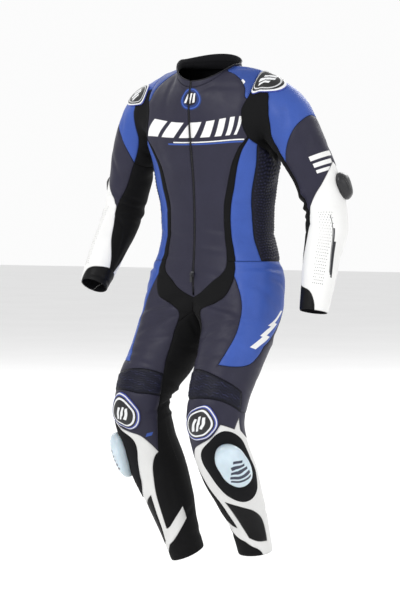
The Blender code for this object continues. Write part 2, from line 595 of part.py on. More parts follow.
def pad_outline(pad):
    count = 24 if max(pad["reach"]) > 80 else 18
    return pad_ring(pad, 1, np.arange(count) * 360 / count)


def pad_radius(pad, x, y):
    """0 at the middle of a pad and 1 on its outline, at flat points."""
    x0, y0 = flat(pad["chart"], (pad["turn"], pad["level"]))
    angle = np.degrees(np.arctan2(x - x0, y0 - y))
    return np.hypot(x - x0, y - y0) / pad_reach(pad, angle)


def inside(path, x, y):
    """Which flat points lie inside a closed path."""
    found = np.zeros(np.shape(x), bool)
    for (xa, ya), (xb, yb) in zip(path, path[1:] + path[:1]):
        if ya == yb:
            continue
        crosses = (ya > y) != (yb > y)
        found ^= crosses & (x < xa + (y - ya) * (xb - xa) / (yb - ya))
    return found


def zip_edge(level):
    """Turn at which the trunk's skin is half the zip's width from the middle plane."""
    row = TORSO_SECTIONS.read(level)
    return np.degrees(np.arcsin((ZIP_HALF / row["half_width"]) ** (row["square"] / 2)))


def chart_outlines(chart):
    """(label, outline) of every panel in the order they are laid, and last the armhole and the zip."""
    found = [(name, outline(chart, items)) for name, items in PANELS[chart]]
    if chart == "trunk":
        levels = np.concatenate([np.arange(COLLAR_TOP, ZIP_FOOT, SEAM_STEP), [ZIP_FOOT]])
        edge = zip_edge(levels)
        side = [flat(chart, at) for at in zip(edge, levels)]
        found.append(("zip", [(-4.0, float(ZIP_FOOT)), (-4.0, float(COLLAR_TOP))] + side))
        angles = np.arange(0, 360, 360 / ARMHOLE_STATIONS)
        found.append((None, [flat(chart, at) for at in zip(*armhole(angles))]))
    return found


def triangulate(points, edges):
    """Delaunay triangles of flat points that keep the edges given."""
    vectors = [Vector(p) for p in points]
    got = delaunay_2d_cdt(vectors, edges, [], 0, 1e-3)
    return [tuple(v) for v in got[0]], [tuple(e) for e in got[1]], [tuple(f) for f in got[2]]


def thin_out(points, edges, kept):
    """Seam edges without the points that stand close together on a straight run. Points in kept all stay."""
    joined = {}
    for a, b in edges:
        joined.setdefault(a, set()).add(b)
        joined.setdefault(b, set()).add(a)
    at = np.array(points)
    for i in sorted(joined, key=lambda k: (at[k][1], at[k][0])):
        if len(joined[i]) != 2 or kept(*at[i]):
            continue
        a, b = joined[i]
        run = at[b] - at[a]
        length = float(np.hypot(*run))
        if length > SEAM_STEP * 1.2 or length < 1e-6 or b in joined[a]:
            continue
        away = at[i] - at[a]
        if abs(run[0] * away[1] - run[1] * away[0]) / length > 0.3:
            continue
        joined[a].discard(i)
        joined[b].discard(i)
        joined[a].add(b)
        joined[b].add(a)
        joined[i] = set()
    return [(a, b) for a in sorted(joined) for b in sorted(joined[a]) if a < b]


class Cloth:
    """A chart cut into panels: flat points, triangles, and the panel each triangle belongs to."""

    def __init__(self, chart):
        self.chart = chart
        self.outlines = chart_outlines(chart)
        self.domain = self.outlines[0][1]
        self.pads = [pad for pad in PADS if pad["chart"] == chart]
        self.cut()

    def labels(self, x, y):
        found = np.full(len(x), -1)
        for i, (name, path) in enumerate(self.outlines):
            hit = inside(path, x, y)
            found[hit] = -1 if name is None else i
        found[~inside(self.domain, x, y)] = -1
        names = [name for name, _ in self.outlines]
        first = {name: names.index(name) for name in names}
        return np.array([-1 if i < 0 else first[names[i]] for i in found])

    def cut(self):
        points, edges = [], []
        for _, path in self.outlines:
            start = len(points)
            points += path
            edges += [(start + i, start + (i + 1) % len(path)) for i in range(len(path))]
        points, all_edges, faces = triangulate(points, edges)
        at = np.array(points)
        middle = at[np.array(faces)].mean(1)
        label = self.labels(middle[:, 0], middle[:, 1])
        beside = {}
        for face, name in zip(faces, label):
            for a, b in zip(face, face[1:] + face[:1]):
                beside.setdefault((min(a, b), max(a, b)), []).append(int(name))
        kept = [e for e, names in beside.items() if len(names) == 1 and names[0] >= 0 or len(set(names)) > 1]
        kept = thin_out(points, kept, self.fixed)
        self.seams = [(points[a], points[b]) for a, b in kept]
        used = sorted({i for e in kept for i in e})
        place = {old: new for new, old in enumerate(used)}
        points = [points[i] for i in used]
        edges = [(place[a], place[b]) for a, b in kept]
        extras = [pad_outline(pad) for pad in self.pads]
        if self.chart == "trunk":
            low, high = LINING_LEVELS
            rim = [(LINING_FROM, low), (180, low), (180, high), (LINING_FROM, high)]
            extras.append(outline("trunk", rim))
        for path in extras:
            start = len(points)
            points += path
            edges += [(start + i, start + (i + 1) % len(path)) for i in range(len(path))]
        ends = np.array(points)
        a = np.array([points[e[0]] for e in edges])
        b = np.array([points[e[1]] for e in edges])
        points += self.inner_points(a, b, ends)
        points, _, faces = triangulate(points, edges)
        self.at = np.array(points)
        faces = np.array(faces)
        middle = self.at[faces].mean(1)
        label = self.labels(middle[:, 0], middle[:, 1])
        keep = label >= 0
        self.faces = faces[keep]
        self.label = np.array([self.outlines[i][0] for i in label[keep]])
        self.middle = middle[keep]

    def fixed(self, x, y):
        """Whether a flat point lies on the armhole, whose stations both charts share."""
        if self.chart == "sleeve":
            return y < 0.01
        return on_armhole(np.array(x / TURN_MM["trunk"]), np.array(y))[1] < 0.05

    def inner_points(self, a, b, ends):
        """Points inside the panels: a staggered grid, the rows of the ribs and rings inside the pads."""
        def clear(x, y, room):
            gap = np.full(len(x), 1e9)
            for start in range(0, len(a), 64):
                p, q = a[start:start + 64], b[start:start + 64]
                d = q - p
                length = np.maximum((d ** 2).sum(1), 1e-9)
                t = ((x[:, None] - p[:, 0]) * d[:, 0] + (y[:, None] - p[:, 1]) * d[:, 1]) / length
                t = np.clip(t, 0, 1)
                near = np.hypot(x[:, None] - p[:, 0] - t * d[:, 0], y[:, None] - p[:, 1] - t * d[:, 1])
                gap = np.minimum(gap, near.min(1))
            return gap > room

        found = []
        taken = []
        for ribs in RIBS:
            name, pitch = ribs["panel"], ribs["pitch"]
            if not any(name == at[0] for at in self.outlines):
                continue
            rows = np.arange(ribs["first"] - pitch / 2, ribs["last"] + pitch / 2 + 0.1, pitch / 2)
            turns = np.arange(ribs["low"], ribs["high"] + 0.1, ribs["step"])
            t, v = np.meshgrid(turns, rows)
            x, y = t.ravel() * TURN_MM[self.chart], (v + rib_drop(ribs, t)).ravel()
            label = self.labels(x, y)
            mine = np.array([i >= 0 and self.outlines[i][0] == name for i in label])
            x, y = x[mine], y[mine]
            ok = clear(x, y, 3.6)
            found += list(zip(x[ok], y[ok]))
            taken.append(name)
        for pad in self.pads:
            for ring, count in PAD_RINGS if pad["crown"] > pad["rim"] else ():
                found += pad_ring(pad, ring, (np.arange(count) + 0.5) * 360 / count)
        low, high = np.min(self.domain, axis=0), np.max(self.domain, axis=0)
        grid = []
        for i, v in enumerate(np.arange(low[1], high[1], GRID * 0.87)):
            shift = GRID / 2 * (i % 2)
            grid += [(x, v) for x in np.arange(low[0] + shift, high[0], GRID)]
        g = np.array(grid)
        label = self.labels(g[:, 0], g[:, 1])
        ok = label >= 0
        for i, (name, _) in enumerate(self.outlines):
            if name in taken:
                ok &= label != i
        g = g[ok]
        g = g[clear(g[:, 0], g[:, 1], GRID * 0.42)]
        for pad in self.pads:
            g = g[pad_radius(pad, g[:, 0], g[:, 1]) > 1.0]
        return [(float(x), float(y)) for x, y in [*found, *g]]


# ---------------------------------------------------------------- pieces
# Red, green, blue and roughness of each material.
FINISHES = {
    "navy_leather": (0.040, 0.036, 0.062, 0.50),
    "blue_leather": (0.040, 0.085, 0.380, 0.45),
    "black_leather": (0.010, 0.010, 0.011, 0.50),
    "white_leather": (0.800, 0.800, 0.790, 0.45),
    "black_stretch": (0.008, 0.008, 0.009, 0.80),
    "black_lining": (0.007, 0.007, 0.008, 0.90),
    "zip_tape": (0.012, 0.012, 0.013, 0.60),
    "zip_metal": (0.100, 0.100, 0.105, 0.35),
    "pull_rubber": (0.012, 0.012, 0.014, 0.55),
    "white_plastic": (0.780, 0.780, 0.780, 0.35),
    "black_plastic": (0.010, 0.010, 0.012, 0.35),
    "slider_plastic": (0.560, 0.690, 0.780, 0.30),
}
PIECES = table(("panel", "node", "finish"), (
    ("front", "front", "navy_leather"),
    ("yoke", "yoke", "blue_leather"),
    ("strip", "strip", "black_stretch"),
    ("side_strip", "side_strip", "blue_leather"),
    ("flank", "flank", "navy_leather"),
    ("back", "back", "navy_leather"),
    ("seat", "seat", "navy_leather"),
    ("hip", "hip", "blue_leather"),
    ("crotch", "crotch", "black_stretch"),
    ("collar", "collar", "navy_leather"),
    ("thigh", "thigh", "navy_leather"),
    ("ribs", "knee_ribs", "navy_leather"),
    ("knee", "knee", "navy_leather"),
    ("inner_leg", "inner_leg", "black_stretch"),
    ("shin", "shin", "white_leather"),
    ("shin_lower", "shin_lower", "black_leather"),
    ("zip", "zip_tape", "zip_tape"),
    ("stretch", "armhole_stretch", "black_stretch"),
    ("cap", "sleeve_cap", "blue_leather"),
    ("upper_arm", "upper_arm", "navy_leather"),
    ("forearm", "forearm", "white_leather"),
    ("inner_sleeve", "inner_sleeve", "black_stretch"),
    ("cuff", "cuff", "black_leather"),
))
PAD_FINISHES = {
    "knee_cup": "white_plastic",
    "slider_patch": "black_leather",
    "knee_slider": "slider_plastic",
    "shoulder_cup": "black_plastic",
    "elbow_slider": "black_plastic",
}
COLLECTION = "racing_suit"
HELPERS = "helpers"

# The zip's lower slider and its pull, in millimetres, in a frame whose origin is on the skin.
SLIDER_LEVEL = 540     # level on the middle line
SLIDER = (9.0, 15.0, 4.5)
SLIDER_LIFT = 0.8      # clear space between the slider and the zip
LUG = (1.2, 5.0, 4.0)
LUG_OUT = 3.6          # middle of each lug from the middle plane
PIN_R = 0.8
PIN_HEIGHT = 8.2       # the hinge pin's axis above the skin
EYE_R = 2.4
EYE_HOLE_R = 1.2
EYE_WIDE = 4.6
NECK = (3.8, 6.5, 2.2)
TAB = (7.5, 15.0, 2.4)


def piece_points(chart, side, flat_points):
    """(points, normals) of the skin at flat chart points. The middle plane is exact for both halves."""
    turn = flat_points[:, 0] / TURN_MM[chart]
    level = flat_points[:, 1]
    points = skin_points(chart, side, turn, level)
    normals = bare_normals(chart, side, turn, level)
    if chart == "sleeve":
        angle, edge = turn, level < 0.01
    else:
        angle, gap = on_armhole(turn, level)
        edge = gap < 0.05
    points[edge] = armhole_points(side, angle[edge])
    normals[edge] = armhole_normals(side, angle[edge])
    if chart == "trunk":
        centre_line = (np.abs(turn) < 0.01) | (np.abs(turn - 180) < 0.01)
        crotch_line = (level > CROTCH - 0.01) & ((turn < 0.01) | (turn > 179.99))
        middle = (level <= CROTCH + 0.01) & (centre_line | crotch_line)
        points[middle, 0] = 0
    return points, normals


def boundary_edges(faces):
    """Directed edges that only one triangle has."""
    seen = set()
    for a, b, c in faces:
        seen.update(((a, b), (b, c), (c, a)))
    return [e for e in sorted(seen) if (e[1], e[0]) not in seen]


def drawn_in(points, normals, edges, gap):
    """Points with those on the boundary edges moved inwards along the skin by gap."""
    moved = points.copy()
    inward = {}
    for a, b in edges:
        across = np.cross(normals[a] + normals[b], points[b] - points[a])
        across = across / max(np.linalg.norm(across), 1e-12)
        inward.setdefault(a, []).append(across)
        inward.setdefault(b, []).append(across)
    for i, ways in inward.items():
        total = np.sum(ways, axis=0)
        size = max(float(total @ total), 0.5)
        moved[i] = points[i] + total * (gap * len(ways) / size)
    return moved


def new_material(name, finish):
    red, green, blue, roughness = FINISHES[finish]
    material = bpy.data.materials.new(name)
    material.use_nodes = True
    shader = material.node_tree.nodes["Principled BSDF"]
    shader.inputs["Base Color"].default_value = (red, green, blue, 1)
    shader.inputs["Roughness"].default_value = roughness
    shader.inputs["Metallic"].default_value = 1.0 if finish == "zip_metal" else 0.0
    material.diffuse_color = (red, green, blue, 1)
    return material


def add_object(name, work, finish, smooth_faces=True):
    """A named object of the suit from a bmesh, which is freed."""
    mesh = bpy.data.meshes.new(name)
    for face in work.faces:
        face.smooth = smooth_faces
    work.to_mesh(mesh)
    work.free()
    mesh.materials.append(new_material(name, finish))
    obj = bpy.data.objects.new(name, mesh)
    bpy.data.collections[COLLECTION].objects.link(obj)
    return obj


def add_solid(name, finish, points, faces):
    """A closed loft between skins. Its faces are built here because its sections are all unlike."""
    work = bmesh.new()
    corners = [work.verts.new(p) for p in points]
    for face in faces:
        work.faces.new([corners[i] for i in face])
    bmesh.ops.recalc_face_normals(work, faces=work.faces)
    return add_object(name, work, finish)


def add_wall(name, finish, outer, inner, faces, inner_faces=None):
    """A closed wall between two skins that share their triangles, or at least their edge points."""
    count = len(outer)
    back = faces if inner_faces is None else inner_faces
    walls = [tuple(f) for f in faces] + [tuple(count + i for i in f[::-1]) for f in back]
    for a, b in boundary_edges(faces):
        walls += [(b, a, count + a), (b, count + a, count + b)]
    points = np.vstack([outer, inner])
    used = np.unique(np.array(walls))
    place = np.full(len(points), -1)
    place[used] = np.arange(len(used))
    return add_solid(name, finish, points[used], [tuple(int(place[i]) for i in f) for f in walls])


def plain_inside(cloth, piece, side, at):
    """The smooth inner skin of a ribbed panel: its edge points and a wide grid."""
    rim = sorted({i for e in piece.edges for i in e})
    place = {old: new for new, old in enumerate(rim)}
    edges = [(place[a], place[b]) for a, b in piece.edges]
    points = [tuple(piece.flats[i]) for i in rim]
    low, high = piece.flats.min(0), piece.flats.max(0)
    ends = piece.flats[rim]
    for k, y in enumerate(np.arange(low[1] + 22, high[1] - 10, INSIDE_GRID)):
        for x in np.arange(low[0] + 14 + INSIDE_GRID / 2 * (k % 2), high[0] - 8, INSIDE_GRID):
            if np.hypot(ends[:, 0] - x, ends[:, 1] - y).min() > 11:
                points.append((float(x), float(y)))
    flat_points, _, faces = triangulate(points, edges)
    flat_points = np.array(flat_points)
    faces = np.array(faces)
    middle = flat_points[faces].mean(1)
    path = loop_of(piece.edges)
    keep = inside([tuple(piece.flats[i]) for i in path], middle[:, 0], middle[:, 1])
    points, normals = piece_points(cloth.chart, side, flat_points)
    points = points - normals * LEATHER * MM
    points[:len(rim)] = at[rim] - piece.normals[rim] * LEATHER * MM
    inner = np.vstack([np.zeros((len(at), 3)), points[len(rim):]])
    inner[rim] = points[:len(rim)]
    back = [tuple(rim[i] if i < len(rim) else len(at) + i - len(rim) for i in f) for f in faces[keep]]
    a, b, c = (np.array([inner[f[k]] for f in back]) for k in range(3))
    facing = (np.cross(b - a, c - a) * normals[faces[keep][:, 0]]).sum(1)
    return inner, [f if turn > 0 else f[::-1] for f, turn in zip(back, facing)]


def loop_of(edges):
    """The points of one closed loop of edges, in order."""
    following = dict(edges)
    path = [edges[0][0]]
    while following[path[-1]] != path[0]:
        path.append(following[path[-1]])
    return path


def rib_drop(ribs, turn):
    """How far down the chart a rib lies at a turn, below where it starts."""
    start, length = RIBS_BEND
    return ribs["drop"] * np.clip((turn - start) / length, 0, 1) ** 1.4


def rib_height(panel, flat_points, edges):
    """How far the ribs of a panel stand out at its points, in metres."""
    height = np.zeros(len(flat_points))
    for ribs in RIBS:
        if ribs["panel"] != panel:
            continue
        pitch, first, last = ribs["pitch"], ribs["first"], ribs["last"]
        level = flat_points[:, 1] - rib_drop(ribs, flat_points[:, 0] / TURN_MM["trunk"])
        gap = np.full(len(flat_points), 1e9)
        for a, b in edges:
            p, d = flat_points[a], flat_points[b] - flat_points[a]
            t = np.clip((flat_points - p) @ d / max(float(d @ d), 1e-9), 0, 1)
            gap = np.minimum(gap, np.linalg.norm(flat_points - p - t[:, None] * d, axis=1))
        wave = 0.5 + 0.5 * np.cos(2 * np.pi * (level - first) / pitch)
        within = (level > first - pitch / 2 - 0.1) & (level < last + pitch / 2 + 0.1)
        height = ribs["height"] * MM * np.where(within, wave, 0) * smooth(gap / ribs["fade"])
        height[sorted({i for e in edges for i in e})] = 0
    return height


class Piece:
    """Triangles of one panel on one chart, gathered from one side or from both."""

    def __init__(self, cloth, sides, chosen):
        self.keys, self.flats, self.points, self.normals, self.faces = {}, [], [], [], []
        for side in sides:
            self.gather(cloth, side, chosen)
        self.points, self.normals, self.flats = map(np.array, (self.points, self.normals, self.flats))
        a, b, c = (self.points[[f[k] for f in self.faces]] for k in range(3))
        facing = (np.cross(b - a, c - a) * self.normals[[f[0] for f in self.faces]]).sum(1)
        if np.median(facing) < 0:
            self.faces = [f[::-1] for f in self.faces]
        self.edges = boundary_edges(self.faces)

    def gather(self, cloth, side, chosen):
        used = np.unique(cloth.faces[chosen])
        flats = cloth.at[used]
        points, normals = piece_points(cloth.chart, side, flats)
        low, high = (turn * TURN_MM[cloth.chart] for turn in WRAP[cloth.chart])
        place = {}
        for i, at, point, normal in zip(used, flats, points, normals):
            x = high if abs(at[0] - low) < 0.01 else at[0]
            on_middle = cloth.chart == "trunk" and abs(point[0]) < 1e-9
            key = (round(float(x), 2), round(float(at[1]), 2), 0 if on_middle else side)
            if key not in self.keys:
                self.keys[key] = len(self.points)
                self.flats.append(at)
                self.points.append(point)
                self.normals.append(normal)
            place[i] = self.keys[key]
        for face in cloth.faces[chosen]:
            corners = tuple(place[i] for i in face)
            self.faces.append(corners if side > 0 else corners[::-1])


def sides_of(panel):
    """(sides, name ending) of each piece that a panel makes."""
    return (((1, -1), ""),) if panel in ACROSS_MIDDLE else (((1,), "_left"), ((-1,), "_right"))


def build_panels(cloth):
    """Every leather panel of a chart as a thin wall."""
    for row in PIECES:
        panel = row["panel"]
        chosen = cloth.label == panel
        if not chosen.any():
            continue
        for sides, ending in sides_of(panel):
            piece = Piece(cloth, sides, chosen)
            at = drawn_in(piece.points, piece.normals, piece.edges, SEAM_GAP / 2 * MM)
            ribs = rib_height(panel, piece.flats, piece.edges)[:, None] * piece.normals
            if ribs.any():
                inner, inner_faces = plain_inside(cloth, piece, sides[0], at)
            else:
                inner, inner_faces = at - piece.normals * LEATHER * MM, None
            add_wall(row["node"] + ending, row["finish"], at + ribs, inner, piece.faces, inner_faces)


def build_lining(cloth):
    """The collar's black inside, on the collar's own points."""
    low, high = LINING_LEVELS
    turn = cloth.middle[:, 0] / TURN_MM["trunk"]
    level = cloth.middle[:, 1]
    chosen = (level > low) & (level < high) & (turn > LINING_FROM)
    piece = Piece(cloth, (1, -1), chosen)
    outer = piece.points - piece.normals * (LEATHER + LINING_GAP) * MM
    add_wall("collar_lining", "black_lining", outer, outer - piece.normals * LINING * MM, piece.faces)


def build_pads(cloth):
    """Armour, sliders and the slider's patch, each on the points of the panel below it."""
    for pad in cloth.pads:
        name, base, rim, crown = pad["name"], pad["base"], pad["rim"], pad["crown"]
        chosen = pad_radius(pad, cloth.middle[:, 0], cloth.middle[:, 1]) < 1
        for side, ending in ((1, "_left"), (-1, "_right")):
            if side == -pad["half"]:
                continue
            piece = Piece(cloth, (side,), chosen)
            r = pad_radius(pad, piece.flats[:, 0], piece.flats[:, 1])
            height = base + rim + (crown - rim) * np.sqrt(np.clip(1 - r * r, 0, 1))
            low = piece.points + piece.normals * base * MM
            top = piece.points + piece.normals * height[:, None] * MM
            add_wall(name + ending, PAD_FINISHES[name], top, low, piece.faces)


def box(work, size, centre, bevel=0.0):
    """Adds a box to a bmesh, in millimetres."""
    made = bmesh.ops.create_cube(work, size=1)["verts"]
    bmesh.ops.scale(work, verts=made, vec=[v * MM for v in size])
    bmesh.ops.translate(work, verts=made, vec=[v * MM for v in centre])
    if bevel:
        edges = list({e for v in made for e in v.link_edges})
        bmesh.ops.bevel(work, geom=edges, offset=bevel * MM, segments=2, affect="EDGES", profile=0.5)


def rod(work, radius, length, centre, sides=16):
    """Adds a rod along X to a bmesh, in millimetres."""
    made = bmesh.ops.create_cone(
        work, cap_ends=True, segments=sides, radius1=radius * MM, radius2=radius * MM, depth=length * MM
    )["verts"]
    bmesh.ops.rotate(work, verts=made, cent=(0, 0, 0), matrix=Matrix.Rotation(math.pi / 2, 3, "Y"))
    bmesh.ops.translate(work, verts=made, vec=[v * MM for v in centre])


def tool(name, shape, *args, **more):
    """A hidden helper object for a Boolean."""
    work = bmesh.new()
    shape(work, *args, **more)
    mesh = bpy.data.meshes.new(name)
    work.to_mesh(mesh)
    work.free()
    obj = bpy.data.objects.new(name, mesh)
    obj.hide_render = True
    obj.display_type = "WIRE"
    bpy.data.collections[HELPERS].objects.link(obj)
    return obj


def combine(obj, operation, others):
    for other in others:
        other.matrix_world = obj.matrix_world
        cut = obj.modifiers.new(other.name, "BOOLEAN")
        cut.operation = operation
        cut.solver = "EXACT"
        cut.object = other


def build_zip_slider():
    """The slider at the zip's lower end, and its pull, which hangs from the slider's pin and can be lifted."""
    turn, level = np.array([0.0, 0.0]), np.array([SLIDER_LEVEL - 8.0, SLIDER_LEVEL + 8.0])
    ends = skin_points("trunk", 1, turn, level)
    down = Vector(ends[1] - ends[0]).normalized()
    out = Vector((0, down.z, -down.y))
    across = Vector((1, 0, 0))
    frame = Matrix((across, -down, out)).transposed().to_4x4()
    frame.translation = Vector((0, *(ends.mean(0)[1:])))
    body_top = SLIDER_LIFT + SLIDER[2]

    work = bmesh.new()
    box(work, SLIDER, (0, 0, SLIDER_LIFT + SLIDER[2] / 2), bevel=1.2)
    slider = add_object("zip_slider", work, "zip_metal", smooth_faces=False)
    slider.matrix_world = frame
    lug_at = body_top - 0.5 + LUG[2] / 2
    ends = (("left", LUG_OUT), ("right", -LUG_OUT))
    helpers = [tool("lug_" + end, box, LUG, (x, 0, lug_at)) for end, x in ends]
    helpers.append(tool("pin", rod, PIN_R, 2 * LUG_OUT, (0, 0, PIN_HEIGHT), sides=12))
    combine(slider, "UNION", helpers)

    # The pull's own origin is on the pin, which is its joint's axis.
    work = bmesh.new()
    rod(work, EYE_R, EYE_WIDE, (0, 0, 0), sides=16)
    pull = add_object("zip_pull", work, "pull_rubber", smooth_faces=False)
    pull.matrix_world = frame @ Matrix.Translation((0, 0, PIN_HEIGHT * MM))
    neck = tool("neck", box, NECK, (0, -NECK[1] / 2 - 1.4, 0))
    tab = tool("tab", box, TAB, (0, -NECK[1] - 0.6 - TAB[1] / 2, 0), bevel=1.0)
    hole = tool("eye_hole", rod, EYE_HOLE_R, EYE_WIDE + 4, (0, 0, 0), sides=12)
    combine(pull, "UNION", [neck, tab])
    combine(pull, "DIFFERENCE", [hole])


def clear_scene():
    for obj in list(bpy.data.objects):
        bpy.data.objects.remove(obj, do_unlink=True)
    for name in (COLLECTION, HELPERS):
        collection = bpy.data.collections.new(name)
        bpy.context.scene.collection.children.link(collection)


def main():
    clear_scene()
    trunk = Cloth("trunk")
    build_panels(trunk)
    build_lining(trunk)
    build_pads(trunk)
    sleeve = Cloth("sleeve")
    build_panels(sleeve)
    build_pads(sleeve)
    build_zip_slider()


if __name__ == "__main__":
    main()
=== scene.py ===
"""The looks of a one-piece leather racing suit, built round its packed solids.

The file is laid out as a Blender add-on and is run as a script. Metres, +Z up; the suit faces -Y and its
own left side is +X. Its panels are cut again, finely, from the same two charts as the solids: the trunk
chart covers half of the body from the collar to the ankle ("turn" goes round it, 0 centre front, 90 side,
180 centre back, 180 to 240 the inside of the leg; "level" goes down it in millimetres), and the sleeve
chart does the same for an arm.
"""

import math

import bmesh
import bpy
import numpy as np
from bpy.props import FloatProperty, FloatVectorProperty, PointerProperty
from mathutils import Matrix, Vector, kdtree, noise
from mathutils.geometry import delaunay_2d_cdt


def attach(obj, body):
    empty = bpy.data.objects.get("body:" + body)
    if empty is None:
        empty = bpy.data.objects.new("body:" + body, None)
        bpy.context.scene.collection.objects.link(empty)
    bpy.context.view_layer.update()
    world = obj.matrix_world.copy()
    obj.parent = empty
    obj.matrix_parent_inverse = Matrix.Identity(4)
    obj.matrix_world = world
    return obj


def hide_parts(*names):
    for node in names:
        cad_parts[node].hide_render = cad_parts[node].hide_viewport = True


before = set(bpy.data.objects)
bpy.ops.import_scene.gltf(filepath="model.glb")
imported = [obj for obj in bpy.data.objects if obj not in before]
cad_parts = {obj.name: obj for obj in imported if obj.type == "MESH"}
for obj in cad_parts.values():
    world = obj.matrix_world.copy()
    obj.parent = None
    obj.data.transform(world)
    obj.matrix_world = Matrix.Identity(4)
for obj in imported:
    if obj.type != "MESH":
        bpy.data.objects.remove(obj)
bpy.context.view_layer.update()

bl_info = {
    "name": "Racing suit",
    "version": (1, 0, 0),
    "blender": (4, 5, 0),
    "location": "3D View > Sidebar > Racing suit",
    "description": "Panels, ribs, armour, zip and stitching of a one-piece leather racing suit",
    "category": "Add Mesh",
}

MM = 0.001
BODY = "suit"
SIDEBAR_TAB = "Racing suit"

# ---------------------------------------------------------------- section tables, as in the solids
COLLAR_TOP = -40
CROTCH = 655
HEM = 1345
TORSO_COLUMNS = ("level", "half_width", "front", "back", "middle", "z_front", "z_side", "z_back", "square")
TORSO = (
    (-40, 92, -117, 54, -31, -17, 36, 62, 2.0),
    (-20, 88, -118, 56, -31, -30, 31, 48, 2.0),
    (0, 88, -122, 62, -31, -44, 26, 34, 2.0),
    (35, 120, -127, 84, -22, -76, 20, 4, 2.1),
    (70, 154, -126, 100, -12, -108, 12, -32, 2.2),
    (105, 184, -124, 108, -5, -140, -8, -68, 2.3),
    (150, 204, -119, 114, 0, -184, -72, -122, 2.4),
    (200, 202, -113, 117, 2, -228, -140, -178, 2.4),
    (250, 194, -108, 117, 4, -264, -214, -238, 2.3),
    (300, 184, -104, 114, 5, -304, -290, -298, 2.3),
    (360, 171, -101, 112, 6, -360, -358, -360, 2.2),
    (430, 168, -100, 114, 7, -430, -430, -430, 2.2),
    (480, 180, -102, 122, 8, -480, -480, -480, 2.2),
    (530, 197, -109, 126, 5, -530, -530, -530, 2.3),
    (580, 203, -118, 120, -1, -580, -580, -580, 2.3),
    (630, 203, -124, 112, -7, -630, -630, -630, 2.3),
    (700, 198, -122, 100, -10, -700, -700, -700, 2.4),
)
LEG_COLUMNS = ("level", "x", "y", "z", "out", "inn", "front", "back", "square", "pitch", "roll")
LEG_TOP = (
    (480, 96, 4, -480, 98, 96, 112, 118, 2.5, 0, 0),
    (560, 98, -2, -560, 103, 98, 116, 118, 2.5, 0, 0),
    (620, 101, -12, -618, 102, 94, 112, 112, 2.5, 4, 0),
    (655, 103, -22, -650, 99, 92, 108, 106, 2.4, 8, 0),
)
LEG_LEFT = LEG_TOP + (
    (720, 105, -50, -708, 97, 92, 100, 94, 2.2, 16, 0),
    (800, 110, -94, -780, 89, 84, 92, 86, 2.1, 20, 0),
    (880, 112, -138, -857, 83, 78, 83, 80, 2.1, 14, 0),
    (950, 112, -157, -928, 78, 74, 80, 76, 2.1, -2, 0),
    (1020, 110, -135, -996, 74, 72, 74, 76, 2.1, -16, 0),
    (1100, 108, -94, -1068, 74, 72, 72, 78, 2.1, -24, 0),
    (1200, 106, -36, -1156, 64, 62, 60, 66, 2.1, -24, 0),
    (1280, 106, 10, -1230, 52, 50, 50, 54, 2.1, -18, 0),
    (1345, 106, 38, -1304, 45, 45, 46, 50, 2.1, -9, 0),
)
LEG_RIGHT = LEG_TOP + (
    (720, 112, -46, -710, 97, 92, 99, 94, 2.2, 14, 6),
    (800, 127, -84, -784, 89, 84, 91, 86, 2.1, 16, 8),
    (880, 146, -116, -846, 84, 78, 78, 80, 2.1, 10, 6),
    (950, 152, -130, -914, 78, 74, 80, 76, 2.1, -4, -2),
    (1020, 148, -116, -982, 74, 72, 74, 76, 2.1, -12, -8),
    (1100, 136, -90, -1060, 74, 72, 72, 78, 2.1, -15, -9),
    (1200, 116, -54, -1166, 64, 62, 60, 66, 2.1, -16, -9),
    (1280, 103, -30, -1248, 52, 50, 50, 54, 2.1, -16, -11),
    (1345, 92, -8, -1318, 45, 45, 45, 50, 2.1, -20, -14),
)
LEGS_START = 480
LEGS_APART = 700
SLEEVE_COLUMNS = ("level", "x", "y", "z", "out", "inn", "front", "back", "square", "lean", "swing", "twist")
SLEEVE_LEFT = (
    (0, 190, -2, -104, 90, 96, 72, 72, 2.0, 16, 0, 0),
    (50, 222, 0, -106, 80, 90, 74, 74, 2.0, 34, 0, 0),
    (110, 251, 4, -150, 71, 76, 72, 72, 2.0, 54, -3, 0),
    (180, 283, 18, -216, 65, 66, 69, 66, 2.0, 66, -8, 0),
    (250, 308, 38, -286, 60, 60, 64, 60, 2.0, 74, -8, 0),
    (320, 322, 54, -356, 58, 57, 62, 58, 2.0, 82, 2, 0),
    (380, 331, 48, -414, 60, 55, 58, 60, 2.0, 88, 14, 0),
    (460, 333, 24, -492, 50, 50, 50, 50, 2.0, 90, 16, 0),
    (530, 334, 4, -562, 44, 45, 44, 45, 2.0, 90, 16, 0),
    (605, 334, -17, -637, 38, 38, 38, 39, 2.0, 90, 12, 0),
)
SLEEVE_RIGHT = (
    (0, 190, -2, -104, 90, 96, 72, 72, 2.0, 16, 0, 0),
    (50, 222, -2, -104, 80, 90, 74, 74, 2.0, 34, 0, 3),
    (110, 251, -2, -148, 71, 76, 72, 72, 2.0, 54, 0, 8),
    (180, 281, 2, -214, 64, 66, 69, 66, 2.0, 68, -3, 12),
    (250, 305, 12, -284, 59, 60, 63, 60, 2.0, 74, -4, 6),
    (320, 325, 14, -352, 56, 57, 60, 58, 2.0, 82, 10, 0),
    (380, 333, -8, -408, 54, 55, 54, 56, 2.0, 88, 30, 0),
    (460, 334, -54, -474, 50, 50, 49, 50, 2.0, 90, 34, 0),
    (520, 334, -86, -524, 45, 46, 45, 46, 2.0, 90, 34, 0),
    (605, 333, -121, -577, 38, 38, 38, 38, 2.0, 90, 32, 0),
)
SLEEVE_HEAD = 95
CUFF = 605
ARMHOLE_COLUMNS = ("angle", "ahead", "level")
ARMHOLE = (
    (0, 0, 74),
    (20, 14, 84),
    (40, 30, 100),
    (65, 44, 117),
    (90, 47, 142),
    (115, 42, 180),
    (145, 26, 222),
    (180, 0, 262),
)
ARMHOLE_TURN = 92
ARMHOLE_STATIONS = 96
COLLAR_LEAN = 0.10
